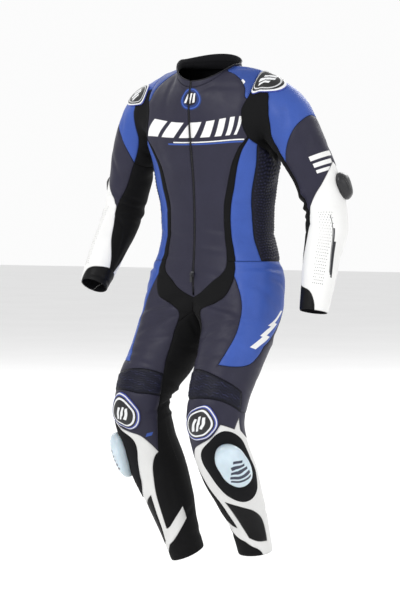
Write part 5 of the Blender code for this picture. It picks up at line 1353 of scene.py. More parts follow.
def make_finish(title):
    """The finish of this name, made once and then shared."""
    name = "look_" + title
    look, trim = settings("suit_leather"), settings("suit_trim")
    navy, blue, black = tuple(look.navy), tuple(look.blue), tuple(look.black)
    white, shaded_white, cloth_black = tuple(look.white), tuple(look.shaded_white), tuple(look.stretch)
    light, cup_blue = tuple(trim.cup_white), tuple(trim.cup_blue)
    paper = PRINT_WHITE
    makers = {
        "navy_leather": lambda: leather(name, navy),
        "blue_leather": lambda: leather(name, blue, 0.44, soil=0.08),
        "black_leather": lambda: leather(name, black, 0.5, gloss=0.16),
        # 0.3 is the painted shade in the rib valleys, 5.0 the painted highlight on the crests
        "ribbed_leather": lambda: ribbed_leather(name, RIBBED_NAVY, 0.3, 5.0),
        "white_leather": lambda: leather(name, white, 0.42, soil=0.03),
        # the shins' white leather, darkened as painted shade
        "shaded_shin_leather": lambda: leather(name, shaded_white, 0.46, soil=0.04),
        "chest_leather": lambda: leather(name, navy, prints=(
            (ring_of(BADGE, ((0.0, 0.034),)), tone(blue, 0.45)),
            (ring_of(BADGE, ((0.0275, 0.0305),)), tone(blue, 1.3)),
            (ring_of(BADGE, ((0.0, 0.021),)), tone(navy, 0.6)), (print_of(BADGE_BARS), paper),
            (print_of(CHEST_BARS, 3.4), paper), (print_of(CHEST_LINE, 3.4), paper),
            (print_of(CHEST_LINE_BLUE, 3.4), blue))),
        "hip_leather": lambda: leather(name, blue, 0.44, soil=0.08, prints=(
            (print_of(THIGH_BARS, mirrored=True), paper),)),
        "knee_leather": lambda: leather(name, navy, prints=((print_of(KNEE_MARK), blue),)),
        "yoke_leather": lambda: leather(name, blue, 0.44, soil=0.08, prints=((pin_dots, tone(blue, 0.25)),
                                                                            (print_of(YOKE_DOT), paper))),
        "arm_leather": lambda: leather(name, navy, prints=((print_of(ARM_BARS), paper),)),
        "forearm_leather": lambda: leather(name, white, 0.42, soil=0.03,
                                           prints=((print_of(FOREARM_BARS), (0.03, 0.03, 0.035)),)),
        "black_stretch": lambda: stretch_cloth(name, cloth_black),
        "lining": lambda: mesh_lining(name, (0.012, 0.012, 0.014)),
        "collar_cloth": lambda: stretch_cloth(name, (0.010, 0.010, 0.012)),
        "hook_cloth": lambda: hook_cloth(name, (0.007, 0.007, 0.008)),
        "knee_cup": lambda: cup_shell(name, (0.008, 0.008, 0.010), (
            (ring_of((0, 0), ((0.825, 2.0),), 0.006), cup_blue),
            (ring_of((0, 0), ((0.885, 0.945),), 0.006), tone(light, 0.95)),
            (ring_of((0, 0), ((0.64, 0.735),), 0.006), light),
            (print_of(KNEE_CUP_BARS, soft=0.012), light))),
        "shoulder_cup": lambda: cup_shell(name, (0.006, 0.006, 0.007), (
            (ring_of((0, 0), ((0.965, 2.0),), 0.006), cup_blue),
            (ring_of((0, 0), ((0.87, 0.965),), 0.006), light),
            (ring_of((0, 0), ((0.70, 0.76),), 0.006), tone(light, 0.8)),
            (print_of(SHOULDER_CUP_BARS, soft=0.012), light))),
        "elbow_plastic": lambda: grooved_plastic(name, (0.010, 0.010, 0.012), 0.36),
        "slider_plastic": lambda: slider_plastic(name),
        "zip_tape": lambda: tape_cloth(name, (0.012, 0.012, 0.014)),
        "zip_teeth": lambda: moulded(name, (0.014, 0.014, 0.016), 0.3),
        "zip_metal": lambda: metal(name, (0.13, 0.13, 0.14), 0.34),
        "pull_rubber": lambda: moulded(name, (0.016, 0.016, 0.019), 0.5),
        "thread_navy": lambda: thread_finish(name, tone(navy, 1.25)),
        "thread_blue": lambda: thread_finish(name, tone(blue, 1.1)),
        "thread_black": lambda: thread_finish(name, (0.012, 0.012, 0.013)),
        "thread_white": lambda: thread_finish(name, (0.72, 0.72, 0.70)),
        "piping": lambda: leather(name, tone(navy, 0.55), 0.5),
        "hole": lambda: moulded(name, (0.01, 0.01, 0.012), 0.8),
        "floor": lambda: floor_paint(name),
    }
    return makers[title]()


def floor_paint(name):
    finish = Finish(name)
    body = finish.mix(finish.ramp(finish.noise(1.5, 3), 0.35, 0.7), (0.93, 0.93, 0.93), (0.95, 0.95, 0.95))
    return finish.set(base_color=body, roughness=0.9, specular_ior_level=0.1)


def finish_of(title):
    return bpy.data.materials.get("look_" + title) or make_finish(title)


# ---------------------------------------------------------------- making pieces
def add_piece(name, work, finishes, body=BODY):
    """A shown piece from a bmesh, which is freed."""
    mesh = bpy.data.meshes.new(name)
    for face in work.faces:
        face.smooth = True
    work.to_mesh(mesh)
    work.free()
    return add_mesh(name, mesh, finishes, body)


def add_mesh(name, mesh, finishes, body=BODY):
    for finish in finishes:
        mesh.materials.append(finish_of(finish))
    piece = bpy.data.objects.new(name, mesh)
    bpy.context.scene.collection.objects.link(piece)
    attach(piece, body)
    return piece


def thicken(piece, wall):
    solid = piece.modifiers.new("wall", "SOLIDIFY")
    solid.thickness = wall
    solid.offset = -1
    solid.material_offset = 1
    solid.material_offset_rim = 0
    return solid


def edge_height(gap, seams):
    """How a panel's skin runs from its seam inwards: turned under, pressed by the stitches, then swelling."""
    gap = gap * MM
    turned = -seams.dip * np.exp(-(gap / 0.0009) ** 2)
    pressed = -0.35 * seams.dip * np.exp(-((gap - seams.inset) / 0.0011) ** 2)
    swell = seams.puff * (smooth(gap / 0.006) - smooth((gap - 0.008) / 0.016))
    return turned + pressed + swell


def rib_drop(ribs, turn):
    """How far down the chart a rib lies at a turn, below where it starts, in mm."""
    start, length = RIBS_BEND
    return ribs["drop"] * np.clip((turn - start) / length, 0, 1) ** 1.4


def rib_shape(name, turn, level, gap, side):
    """0 in the valleys of a ribbed panel to 1 on its crests; the ribs run unevenly and break into puckers."""
    ribs = RIBS[name]
    x = turn * TURN_MM["trunk"]
    wander = 0.7 * np.sin(x / 17 + side) + 0.8 * np.sin(x / 6.3 + level / 40)
    wander = wander + 0.5 * np.sin(x / 2.6 + 2 * side)
    row = (level - rib_drop(ribs, turn) - ribs["first"] + ribs["wobble"] * wander) / ribs["pitch"]
    crest = np.abs(np.cos(np.pi * row)) ** 0.8
    if name == "flank":
        along = x / TUFT + 0.5 * np.round(row) + 0.12 * np.sin(2.4 * np.round(row))
        crest = crest * (0.3 + 0.7 * np.abs(np.cos(np.pi * along)) ** 0.8)
    else:
        crest = crest * (0.84 + 0.16 * np.sin(x / 11 + 1.7 * np.round(row)))
    return crest * smooth(gap / ribs["fade"])


def unevenness(points, folds):
    """Soft waves of worn leather, in metres."""
    if folds.waves <= 0:
        return np.zeros(len(points))
    scale = 1 / folds.wave_size
    return folds.waves * np.array([noise.noise(Vector(p) * scale) for p in points])


def draw_in(work, gap):
    """Moves the points on a sheet's edge inwards along it, which leaves the gap of a seam."""
    inward = {}
    for edge in work.edges:
        if not edge.is_boundary:
            continue
        loop = edge.link_loops[0]
        run = loop.link_loop_next.vert.co - loop.vert.co
        across = loop.face.normal.cross(run)
        if across.length < 1e-12:
            continue
        across.normalize()
        for vert in edge.verts:
            inward.setdefault(vert, []).append(across)
    for vert, ways in inward.items():
        total = sum(ways, Vector())
        vert.co += total * (gap * len(ways) / max(total.length_squared, 0.5))


def chart_sheet(chart, sides, chosen, height_of, relief_of=None):
    """A bmesh of one panel: its triangles on one half or both, joined at the middle and the wrap."""
    source = cloth(chart)
    work = bmesh.new()
    map_layer = work.loops.layers.uv.new("chart")
    seam_layer = work.verts.layers.float.new("seam")
    relief_layer = work.verts.layers.float.new("relief")
    used = np.unique(source.faces[chosen])
    flats = source.at[used]
    place = np.full(len(source.at), -1)
    place[used] = np.arange(len(used))
    for side in sides:
        mirror = side if chart == "trunk" else 1
        points, normals = skin_frame(chart, side, flats, settings("suit_creases"))
        points = points + normals * height_of(side, flats, source.gap[used], points)[:, None]
        corners = source.faces[chosen]
        a, b, c = (points[place[corners[:, k]]] for k in range(3))
        facing = (np.cross(b - a, c - a) * normals[place[corners[:, 0]]]).sum(1)
        turned = np.median(facing) < 0
        verts = [work.verts.new(p) for p in points]
        relief = relief_of(side, flats, source.gap[used]) if relief_of else np.ones(len(used))
        for vert, gap, crest in zip(verts, source.gap[used], relief):
            vert[seam_layer] = gap * MM
            vert[relief_layer] = crest
        for face in corners:
            order = face[::-1] if turned else face
            made = work.faces.new([verts[place[i]] for i in order])
            for loop, i in zip(made.loops, order):
                loop[map_layer].uv = (source.at[i, 0] * MM * mirror, source.at[i, 1] * MM)
    bmesh.ops.remove_doubles(work, verts=work.verts, dist=2e-5)
    work.normal_update()
    return work


LEAST_SHARE = 0.32     # least share of width x length that the area may be


def cut_size(work, flats, sides):
    """((width, length), area) of a panel, in metres.

    The area is its skin's. The width and length are its extents on the chart, not the cloth's own, and the
    width is narrowed where the area would be less than LEAST_SHARE of the two.
    """
    area = sum(face.calc_area() for face in work.faces)
    low, high = flats.min(0), flats.max(0)
    length = (high[1] - low[1]) * MM
    width = (high[0] - low[0]) * MM * len(sides)
    scale = max(1.0, math.sqrt(area / (width * length)) * 1.02)
    width, length = width * scale, length * scale
    if area < LEAST_SHARE * width * length:
        width = area / (LEAST_SHARE * length)
    return (round(width, 3), round(length, 3)), round(min(area, width * length * 0.999), 5)


def sides_of(panel):
    return (((1, -1), ""),) if panel in ACROSS_MIDDLE else (((1,), "_left"), ((-1,), "_right"))


PRINTED = {
    "front_left": "chest_leather", "front_right": "chest_leather", "hip_left": "hip_leather",
    "hip_right": "hip_leather", "upper_arm_left": "arm_leather", "forearm_left": "forearm_leather",
    "forearm_right": "forearm_leather", "shin_left": "shaded_shin_leather", "shin_right": "shaded_shin_leather",
    "knee_right": "knee_leather", "flank_left": "ribbed_leather", "flank_right": "ribbed_leather",
    "knee_ribs_left": "ribbed_leather", "knee_ribs_right": "ribbed_leather", "yoke_left": "yoke_leather",
    "yoke_right": "yoke_leather",
}


def build_panels(chart):
    """Every panel of a chart as a thin sheet with its seams, creases and ribs."""
    source, seams, folds = cloth(chart), settings("suit_seams"), settings("suit_creases")
    for panel, node, finish, _ in PIECES:
        chosen = source.label == panel
        if not chosen.any():
            continue
        for sides, ending in sides_of(panel):
            name = node + ending

            def height_of(side, flats, gap, points):
                edge, rough = edge_height(gap, seams), unevenness(points, folds) * smooth(gap / 20)
                if panel in RIBS:
                    return 0.4 * edge + rough + RIBS[panel]["height"] * MM * relief_of(side, flats, gap)
                return edge + rough

            def relief_of(side, flats, gap):
                if panel not in RIBS:
                    return np.ones(len(flats))
                return rib_shape(panel, flats[:, 0] / TURN_MM[chart], flats[:, 1], gap, side)

            work = chart_sheet(chart, sides, chosen, height_of, relief_of)
            flat_size, area = cut_size(work, source.at[np.unique(source.faces[chosen])], sides)
            draw_in(work, seams.gap)
            piece = add_piece(name + "_cloth", work, (PRINTED.get(name, finish), "lining"))
            thicken(piece, seams.wall)
            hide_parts(name)


def curve_mesh(name, points, radius, sides=8, closed=False):
    """A mesh tube along points, capped at its ends."""
    curve = bpy.data.curves.new(name, "CURVE")
    curve.dimensions = "3D"
    curve.bevel_depth = radius
    curve.bevel_resolution = max(1, sides // 4)
    curve.use_fill_caps = True
    line = curve.splines.new("POLY")
    line.points.add(len(points) - 1)
    for at, point in zip(line.points, points):
        at.co = (*point, 1)
    line.use_cyclic_u = closed
    holder = bpy.data.objects.new(name + "_path", curve)
    bpy.context.scene.collection.objects.link(holder)
    mesh = bpy.data.meshes.new_from_object(holder.evaluated_get(bpy.context.evaluated_depsgraph_get()))
    mesh.name = name
    bpy.data.objects.remove(holder)
    bpy.data.curves.remove(curve)
    for face in mesh.polygons:
        face.use_smooth = True
    return mesh


BINDING_RADIUS = 1.9     # of the collar's rolled binding, in mm
BINDING_DEPTH = 1.5      # of its middle under the skin, in mm
BINDING_POINTS = 60      # along each half


def build_collar():
    """The collar's black inside and the rolled binding along its top."""
    source = cloth("trunk")
    turn, level = source.middle[:, 0] / TURN_MM["trunk"], source.middle[:, 1]
    low, high = LINING_LEVELS
    chosen = (level > low) & (level < high) & (turn > LINING_FROM)
    work = chart_sheet("trunk", (1, -1), chosen,
                       lambda side, flats, gap, points: np.full(len(flats), -LINING_DEPTH * MM))
    flat_size, area = cut_size(work, source.at[np.unique(source.faces[chosen])], (1, -1))
    piece = add_piece("collar_lining_cloth", work, ("collar_cloth", "collar_cloth"))
    thicken(piece, 1.2 * MM)
    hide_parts("collar_lining")
    path = []
    for side in (-1, 1):
        turns = np.linspace(3.0, 180, BINDING_POINTS)
        flats = np.stack([turns * TURN_MM["trunk"], np.full(BINDING_POINTS, COLLAR_TOP + 0.6)], -1)
        points, normals = skin_frame("trunk", side, flats)
        half = points - normals * BINDING_DEPTH * MM
        path += list(half if side < 0 else half[::-1][1:])
    roll = curve_mesh("collar_binding", path, BINDING_RADIUS * MM, 12)
    add_mesh("collar_binding", roll, ("piping",))


def pad_row(pad, side):
    return next(row for row in PADS if row[0] == pad and row[1] in (0, side))


def pad_flats(row, radius, angle):
    """Flat chart points on a pad: radius 1 is its outline, angle 0 is straight up the chart."""
    _, _, chart, turn, level, reach = row
    reach = np.array(reach, float)
    at = np.asarray(angle, float) % 360 * len(reach) / 360
    k = np.floor(at).astype(int)
    t = at - k
    a, b, c, d = (reach[(k + i) % len(reach)] for i in (-1, 0, 1, 2))
    out = b + 0.5 * t * (c - a + t * (2 * a - 5 * b + 4 * c - d + t * (3 * (b - c) + d - a)))
    x, y = flat(chart, (turn, level))
    angle = np.radians(angle)
    return np.stack([x + out * radius * np.sin(angle), y - out * radius * np.cos(angle)], -1)


def build_pad(pad, side, finish):
    """A moulded or sewn piece on a panel: a round blank whose rings follow the piece's section."""
    row = pad_row(pad, side)
    chart = row[2]
    profile = PROFILES[pad]
    base = PAD_BASE.get(pad, PAD_GAP)
    work = bmesh.new()
    # One ring of the blank for each row of the section after its middle, and a flat underside.
    bmesh.ops.create_uvsphere(work, u_segments=PAD_SIDES, v_segments=len(profile) + 1, radius=1)
    map_layer = work.loops.layers.uv.new("chart")
    verts = list(work.verts)
    polar = np.array([math.acos(max(-1, min(1, v.co.z))) for v in verts])
    ring = np.rint(polar / math.pi * (len(profile) + 1)).astype(int)
    angle = np.degrees(np.array([math.atan2(v.co.y, v.co.x) for v in verts])) + 90
    shares = np.array([row[0] for row in profile] + [0.6, 0.0])
    heights = np.array([row[1] for row in profile] + [0.0, 0.0])
    share = shares[ring]
    flats = pad_flats(row, share, angle)
    points, normals = skin_frame(chart, side, flats)
    points = points + normals * ((heights[ring] + base) * MM)[:, None]
    for vert, point in zip(verts, points):
        vert.co = point
    place = {vert: i for i, vert in enumerate(verts)}
    for face in work.faces:
        for loop in face.loops:
            i = place[loop.vert]
            a = math.radians(angle[i])
            loop[map_layer].uv = (share[i] * math.sin(a) * side, share[i] * -math.cos(a))
    bmesh.ops.recalc_face_normals(work, faces=work.faces)
    ending = "_left" if side > 0 else "_right"
    piece = add_piece(pad + ending + "_shell", work, (finish,))
    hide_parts(pad + ending)
    return piece


def build_cups():
    for side in (1, -1):
        build_pad("knee_cup", side, "knee_cup")
        build_pad("shoulder_cup", side, "shoulder_cup")


def build_sliders():
    for side in (1, -1):
        patch = build_pad("slider_patch", side, "hook_cloth")
        build_pad("knee_slider", side, "slider_plastic")
        build_pad("elbow_slider", side, "elbow_plastic")


# ---------------------------------------------------------------- zip
def middle_line(levels, lift=0.0):
    """(points, down, out) along the front's middle line."""
    flats = np.stack([np.zeros(len(levels)), levels], -1)
    points, _ = skin_frame("trunk", 1, flats)
    down = np.gradient(points, axis=0)
    down[:, 0] = 0
    down /= np.linalg.norm(down, axis=1)[:, None]
    out = np.stack([np.zeros(len(levels)), down[:, 2], -down[:, 1]], -1)
    return points + out * lift, down, out


def even_levels(low, high, pitch):
    """Levels that lie an even distance apart along the middle line."""
    fine = np.arange(low, high, 0.5)
    points, _, _ = middle_line(fine)
    run = np.concatenate([[0], np.cumsum(np.linalg.norm(np.diff(points, axis=0), axis=1))])
    return np.interp(np.arange(pitch / 2, run[-1], pitch), run, fine)


def repeat_shape(name, template, places, finish):
    """Copies of one small mesh, each with its own frame (origin, three axes), joined into one piece."""
    shape = np.array([v.co for v in template.verts])
    template.verts.index_update()
    faces = [[v.index for v in f.verts] for f in template.faces]
    template.free()
    origin, x, y, z = places
    points = (
        origin[:, None]
        + x[:, None] * shape[None, :, 0:1]
        + y[:, None] * shape[None, :, 1:2]
        + z[:, None] * shape[None, :, 2:3]
    ).reshape(-1, 3)
    count = len(shape)
    all_faces = [[k * count + i for i in face] for k in range(len(origin)) for face in faces]
    mesh = bpy.data.meshes.new(name)
    mesh.from_pydata(points, [], all_faces)
    for face in mesh.polygons:
        face.use_smooth = False
    mesh.update()
    return add_mesh(name, mesh, (finish,))


TAPE = {"from": 0.4, "wide": 9.0, "step": 8.0, "depth": 2.2, "wall": 0.6}     # one half of the zip, in mm
TEETH_DEPTH = 1.5             # of their middle line under the skin, in mm
TOOTH_SHIFT = 0.75            # of each tooth to its own side, in mm


def build_zip():
    """The two woven tapes, the teeth between them, and the finish of the slider and its pull."""
    trim = settings("suit_trim")
    for side, ending in ((1, "_left"), (-1, "_right")):
        work = bmesh.new()
        layer = work.loops.layers.uv.new("chart")
        levels = np.arange(COLLAR_TOP + 1, ZIP_FOOT, TAPE["step"])
        bmesh.ops.create_grid(work, x_segments=3, y_segments=len(levels) - 1, size=0.5)
        work.verts.ensure_lookup_table()
        across = np.array([v.co.x + 0.5 for v in work.verts]) * TAPE["wide"] + TAPE["from"]
        row = np.rint(np.array([v.co.y + 0.5 for v in work.verts]) * (len(levels) - 1)).astype(int)
        section = TORSO_SECTIONS.read(levels[row])
        turn = np.degrees(np.arcsin((across / section["half_width"]) ** (section["square"] / 2)))
        skin, normals = skin_frame("trunk", side, np.stack([turn * TURN_MM["trunk"], levels[row]], -1))
        for vert, point in zip(work.verts, skin - normals * TAPE["depth"] * MM):
            vert.co = point
        spot = {vert: i for i, vert in enumerate(work.verts)}
        for face in work.faces:
            for loop in face.loops:
                i = spot[loop.vert]
                loop[layer].uv = (across[i] * MM * side, levels[row[i]] * MM)
        bmesh.ops.recalc_face_normals(work, faces=work.faces)
        work.faces.ensure_lookup_table()
        if work.faces[0].normal.dot(Vector(normals[0])) < 0:
            bmesh.ops.reverse_faces(work, faces=work.faces)
        piece = add_piece("zip_tape" + ending + "_cloth", work, ("zip_tape", "zip_tape"))
        thicken(piece, TAPE["wall"] * MM)
        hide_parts("zip_tape" + ending)
    levels = even_levels(COLLAR_TOP + 3, SLIDER_LEVEL + 36, trim.tooth_pitch / 2)
    points, down, out = middle_line(levels, -TEETH_DEPTH * MM)
    work = bmesh.new()
    made = bmesh.ops.create_cube(work, size=1)["verts"]
    bmesh.ops.scale(work, verts=made, vec=[v * MM for v in TOOTH])
    bmesh.ops.bevel(work, geom=work.edges[:], offset=0.3 * MM, segments=1, profile=0.5, material=-1,
                    affect="EDGES")
    across = np.tile([1.0, 0, 0], (len(levels), 1))
    sign = np.where(np.arange(len(levels)) % 2, 1.0, -1.0)[:, None]
    places = (points + across * sign * TOOTH_SHIFT * MM, across, down, out)
    repeat_shape("zip_teeth", work, places, "zip_teeth")
    for name, finish in (("zip_slider", "zip_metal"), ("zip_pull", "pull_rubber")):
        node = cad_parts[name]
        node.data.materials.clear()
        node.data.materials.append(finish_of(finish))


# ---------------------------------------------------------------- stitching
def panel_rims(chart, panel):
    """Lines of flat points along the seams round a panel, with the panel on one known side."""
    source = cloth(chart)
    low, high = (turn * TURN_MM[chart] for turn in WRAP[chart])
    faces = source.faces[source.label == panel]
    edges = {}
    for face in faces:
        for a, b in zip(face, np.roll(face, -1)):
            edges[(int(a), int(b))] = True
    rims = []
    for a, b in edges:
        if (b, a) in edges:
            continue
        p, q = source.at[a], source.at[b]
        straight = abs(p[0] - q[0]) < 1e-3
        if straight and (abs(p[0] - low) < 1e-3 or abs(p[0] - high) < 1e-3):
            continue
        if straight and chart == "trunk" and source.open_middle(p, q):
            continue
        rims.append((a, b))
    following = {}
    for a, b in rims:
        following.setdefault(a, []).append(b)
    ends = {b for _, b in rims}
    lines = []
    starts = [a for a in following if a not in ends] + list(following)
    for start in starts:
        if not following.get(start):
            continue
        line = [start]
        while following.get(line[-1]):
            line.append(following[line[-1]].pop(0))
        lines.append(source.at[line])
    return lines


def stitch_places(chart, panel, side, seams):
    """Where each stitch lies along a panel's seams: (middle, along, across, out)."""
    source = cloth(chart)
    inset = seams.inset / MM
    pitch = seams.pitch / MM
    ahead_all, back_all = [], []
    for line in panel_rims(chart, panel):
        run = np.concatenate([[0], np.cumsum(np.linalg.norm(np.diff(line, axis=0), axis=1))])
        if run[-1] < 12:
            continue
        count = int(run[-1] // pitch)
        at = (np.arange(count) + 0.5) * pitch
        ends = []
        for offset in (-0.34, 0.34):
            where = np.clip(at + offset * pitch, 0, run[-1])
            behind, point, ahead = (
                np.stack([np.interp(np.clip(where + step, 0, run[-1]), run, line[:, k]) for k in (0, 1)], -1)
                for step in (-3, 0, 3)
            )
            tangent = ahead - behind
            tangent /= np.maximum(np.linalg.norm(tangent, axis=1), 1e-9)[:, None]
            ends.append((point, np.stack([-tangent[:, 1], tangent[:, 0]], -1)))
        for sign in (1, -1):
            a = ends[0][0] + ends[0][1] * inset * sign
            b = ends[1][0] + ends[1][1] * inset * sign
            middle = (a + b) / 2
            label = source.labels(middle[:, 0], middle[:, 1])
            mine = np.array([i >= 0 and source.names[i] == panel for i in label])
            mine &= source.seam_distance(middle) > inset * 0.82
            ahead_all.append(b[mine])
            back_all.append(a[mine])
    if not ahead_all:
        return None
    a, b = np.concatenate(back_all), np.concatenate(ahead_all)
    if not len(a):
        return None
    folds = settings("suit_creases")
    ends = []
    for flats in (a, b):
        points, normals = skin_frame(chart, side, flats, folds)
        gap = source.seam_distance(flats)
        height = edge_height(gap, seams) + unevenness(points, folds) * smooth(gap / 20)
        ends.append(points + normals * (height + seams.thread * 0.45)[:, None])
    along = ends[1] - ends[0]
    length = np.linalg.norm(along, axis=1)
    keep = length > 0.5 * MM
    along = along / np.maximum(length, 1e-9)[:, None]
    across = np.cross(normals, along)
    across /= np.maximum(np.linalg.norm(across, axis=1), 1e-9)[:, None]
    out = np.cross(along, across)
    middle = (ends[0] + ends[1]) / 2
    scale = length[:, None] / 2
    return tuple(part[keep] for part in (middle, along * scale, across * seams.thread, out * seams.thread))


def build_stitching():
    """Rows of topstitching beside the seams of every leather panel, joined by colour of thread."""
    seams = settings("suit_seams")
    found = {}
    for chart in ("trunk", "sleeve"):
        for panel, _, _, thread in PIECES:
            if thread is None or not (cloth(chart).label == panel).any():
                continue
            for side in (1, -1):
                places = stitch_places(chart, panel, side, seams)
                if places is not None:
                    found.setdefault(thread, []).append(places)
    for thread, rows in found.items():
        places = tuple(np.concatenate([row[k] for row in rows]) for k in range(4))
        work = bmesh.new()
        bmesh.ops.create_cone(work, cap_ends=False, segments=4, radius1=1, radius2=0.001, depth=1)
        bmesh.ops.translate(work, verts=work.verts, vec=(0, 0, 0.5))
        bmesh.ops.mirror(work, geom=work.verts[:] + work.edges[:] + work.faces[:], merge_dist=1e-4, axis="Z")
        bmesh.ops.rotate(work, verts=work.verts, cent=(0, 0, 0), matrix=Matrix.Rotation(math.pi / 2, 3, "Y"))
        bmesh.ops.remove_doubles(work, verts=work.verts, dist=0.01)
        bmesh.ops.recalc_face_normals(work, faces=work.faces)
        repeat_shape("stitching_" + thread, work, places, "thread_" + thread)


# ---------------------------------------------------------------- perforations
HOLE_ROWS = {"turn": (40, 78), "level": (346, 545), "across": 7.0, "along": 8.0, "radius": 1.15}


def build_perforations():
    """Rows of small punched holes in the forearms' leather, shown as their dark mouths."""
    seams, folds = settings("suit_seams"), settings("suit_creases")
    low, high = HOLE_ROWS["turn"]
    top, foot = HOLE_ROWS["level"]
    flats = []
    for k, level in enumerate(np.arange(top, foot, HOLE_ROWS["along"])):
        shift = HOLE_ROWS["across"] / 2 * (k % 2)
        flats += [(x, level) for x in np.arange(low + shift, high, HOLE_ROWS["across"])]
    flats = np.array(flats, float)
    for side, ending in ((1, "_left"), (-1, "_right")):
        points, normals = skin_frame("sleeve", side, flats, folds)
        gap = cloth("sleeve").seam_distance(flats)
        keep = gap > 6
        height = edge_height(gap, seams) + unevenness(points, folds) * smooth(gap / 20) + 0.0001
        points = (points + normals * height[:, None])[keep]
        out = normals[keep]
        across = np.cross(np.tile([0, 0, 1.0], (len(out), 1)), out)
        across /= np.linalg.norm(across, axis=1)[:, None]
        along = np.cross(out, across)
        work = bmesh.new()
        bmesh.ops.create_circle(work, cap_ends=True, segments=8, radius=HOLE_ROWS["radius"] * MM)
        bmesh.ops.inset_region(work, faces=work.faces[:], thickness=0.2 * MM, depth=0)
        repeat_shape("perforations" + ending, work, (points, across, along, out), "hole")


# ---------------------------------------------------------------- stage
def add_light(name, location, target, power, across):
    light = bpy.data.lights.new(name, "AREA")
    light.energy = power
    light.size = across
    holder = bpy.data.objects.new(name, light)
    bpy.context.scene.collection.objects.link(holder)
    holder.location = location
    holder.rotation_euler = (Vector(target) - Vector(location)).to_track_quat("-Z", "Y").to_euler()


FLOOR_HALF = 30
# Each light: how far towards the camera, to its right and up it stands from the suit's middle, its share
# of the key light's strength, and its width.
LIGHTS = (
    ("key", 3.2, -2.2, 2.6, 1.0, 2.4),
    ("fill", 3.0, 3.0, 1.2, 0.35, 3.0),
    ("rim", -3.0, 1.5, 2.4, 0.5, 2.0),
)
SENSOR = 36               # in mm
VIEW_HEIGHT = 1.647       # metres that the camera sees from top to bottom at the suit
EYE_LEVEL = -0.35
AIM = (-0.0439, -0.6135)  # how far to the right of the suit's middle plane and up the camera looks


def build_stage():
    """A plain pale floor, soft lights and the camera."""
    stage = settings("suit_stage")
    work = bmesh.new()
    bmesh.ops.create_grid(work, x_segments=2, y_segments=2, size=FLOOR_HALF)
    bmesh.ops.translate(work, verts=work.verts, vec=(0, 0, stage.floor))
    mesh = bpy.data.meshes.new("floor")
    work.to_mesh(mesh)
    work.free()
    mesh.materials.append(finish_of("floor"))
    floor = bpy.data.objects.new("floor", mesh)
    bpy.context.scene.collection.objects.link(floor)
    world = bpy.data.worlds.new("studio")
    world.use_nodes = True
    sky = world.node_tree.nodes["Background"]
    sky.inputs[1].default_value = 1.0
    # The studio's walls are a little darker at the sides and overhead than the backdrop behind the suit.
    way = world.node_tree.nodes.new("ShaderNodeTexCoord")
    toward = world.node_tree.nodes.new("ShaderNodeVectorMath")
    toward.operation = "DOT_PRODUCT"
    toward.inputs[1].default_value = (-math.sin(stage.azimuth), math.cos(stage.azimuth), 0)
    walls = world.node_tree.nodes.new("ShaderNodeMapRange")
    for i, value in enumerate((0.2, 0.9, stage.walls, stage.backdrop), 1):
        walls.inputs[i].default_value = value
    for a, b in ((way.outputs["Generated"], toward.inputs[0]), (toward.outputs["Value"], walls.inputs[0]),
                 (walls.outputs[0], sky.inputs[0])):
        world.node_tree.links.new(a, b)
    bpy.context.scene.world = world
    bpy.context.scene.view_settings.view_transform = "Standard"
    turn = stage.azimuth
    back = Vector((math.sin(turn), -math.cos(turn), 0))
    right = Vector((math.cos(turn), math.sin(turn), 0))
    middle = Vector((0, 0, -0.6))
    for name, ahead, across, up, share, wide in LIGHTS:
        place = middle + back * ahead + right * across + Vector((0, 0, up))
        add_light(name, place, middle, stage.key * share, wide)
    behind = middle - back * 6.0
    for way in (-1, 1):
        spot = behind + right * 3.5 * way
        add_light("floor_light_" + "ab"[way > 0], spot + Vector((0, 0, 3.2)), spot, stage.key * 1.6, 6.0)
    camera = bpy.data.cameras.new("camera")
    camera.sensor_width = SENSOR
    camera.lens = SENSOR * stage.distance / VIEW_HEIGHT
    holder = bpy.data.objects.new("camera", camera)
    bpy.context.scene.collection.objects.link(holder)
    eye = back * stage.distance + Vector((0, 0, EYE_LEVEL))
    target = right * AIM[0] + Vector((0, 0, AIM[1]))
    holder.location = eye
    holder.rotation_euler = (target - eye).to_track_quat("-Z", "Y").to_euler()
    bpy.context.scene.camera = holder


# ---------------------------------------------------------------- operators
class SUIT_OT_trunk_panels(bpy.types.Operator):
    """Cut and lay the panels of the body and legs"""

    bl_idname = "suit.trunk_panels"
    bl_label = "Body and leg panels"

    def execute(self, context):
        build_panels("trunk")
        return {"FINISHED"}


class SUIT_OT_sleeve_panels(bpy.types.Operator):
    """Cut and lay the panels of the sleeves"""

    bl_idname = "suit.sleeve_panels"
    bl_label = "Sleeve panels"

    def execute(self, context):
        build_panels("sleeve")
        return {"FINISHED"}


class SUIT_OT_collar(bpy.types.Operator):
    """Line and bind the collar"""

    bl_idname = "suit.collar"
    bl_label = "Collar"

    def execute(self, context):
        build_collar()
        return {"FINISHED"}


class SUIT_OT_cups(bpy.types.Operator):
    """Mould the cups on the knees and shoulders"""

    bl_idname = "suit.cups"
    bl_label = "Knee and shoulder cups"

    def execute(self, context):
        build_cups()
        return {"FINISHED"}


class SUIT_OT_sliders(bpy.types.Operator):
    """Mould the knee and elbow sliders and sew the knee sliders' patches"""

    bl_idname = "suit.sliders"
    bl_label = "Sliders"

    def execute(self, context):
        build_sliders()
        return {"FINISHED"}


class SUIT_OT_zip(bpy.types.Operator):
    """Set the zip's tapes and teeth, and finish its slider and pull"""

    bl_idname = "suit.zip"
    bl_label = "Zip"

    def execute(self, context):
        build_zip()
        return {"FINISHED"}


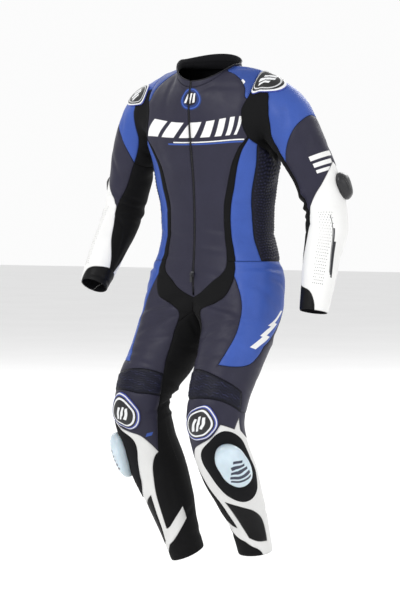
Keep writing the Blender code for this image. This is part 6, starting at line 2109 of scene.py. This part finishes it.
class SUIT_OT_stitching(bpy.types.Operator):
    """Topstitch the seams of the leather panels"""

    bl_idname = "suit.stitching"
    bl_label = "Topstitching"

    def execute(self, context):
        build_stitching()
        return {"FINISHED"}


class SUIT_OT_perforations(bpy.types.Operator):
    """Punch the small holes in the forearms"""

    bl_idname = "suit.perforations"
    bl_label = "Perforations"

    def execute(self, context):
        build_perforations()
        return {"FINISHED"}


class SUIT_OT_stage(bpy.types.Operator):
    """Set the floor, the lights and the camera"""

    bl_idname = "suit.stage"
    bl_label = "Stage"

    def execute(self, context):
        build_stage()
        return {"FINISHED"}


OPERATORS = (
    SUIT_OT_trunk_panels, SUIT_OT_sleeve_panels, SUIT_OT_collar, SUIT_OT_cups, SUIT_OT_sliders, SUIT_OT_zip,
    SUIT_OT_stitching, SUIT_OT_perforations, SUIT_OT_stage,
)


class SUIT_PT_panel(bpy.types.Panel):
    """Settings and steps of the racing suit"""

    bl_idname = "SUIT_PT_panel"
    bl_label = "Racing suit"
    bl_space_type = "VIEW_3D"
    bl_region_type = "UI"
    bl_category = SIDEBAR_TAB

    def draw(self, context):
        for name, group in GROUPS.items():
            column = self.layout.box().column()
            column.label(text=group.__doc__)
            for prop in group.__annotations__:
                column.prop(getattr(context.scene, name), prop)
        for operator in OPERATORS:
            self.layout.operator(operator.bl_idname)


def register():
    for group in (*GROUPS.values(), *OPERATORS, SUIT_PT_panel):
        bpy.utils.register_class(group)
    for name, group in GROUPS.items():
        setattr(bpy.types.Scene, name, PointerProperty(type=group))


def unregister():
    for name in GROUPS:
        delattr(bpy.types.Scene, name)
    for group in (SUIT_PT_panel, *OPERATORS[::-1], *GROUPS.values()):
        bpy.utils.unregister_class(group)


def main():
    register()
    bpy.ops.suit.trunk_panels()
    bpy.ops.suit.sleeve_panels()
    bpy.ops.suit.collar()
    bpy.ops.suit.cups()
    bpy.ops.suit.sliders()
    bpy.ops.suit.zip()
    bpy.ops.suit.stitching()
    bpy.ops.suit.perforations()
    bpy.ops.suit.stage()


if __name__ == "__main__":
    main()
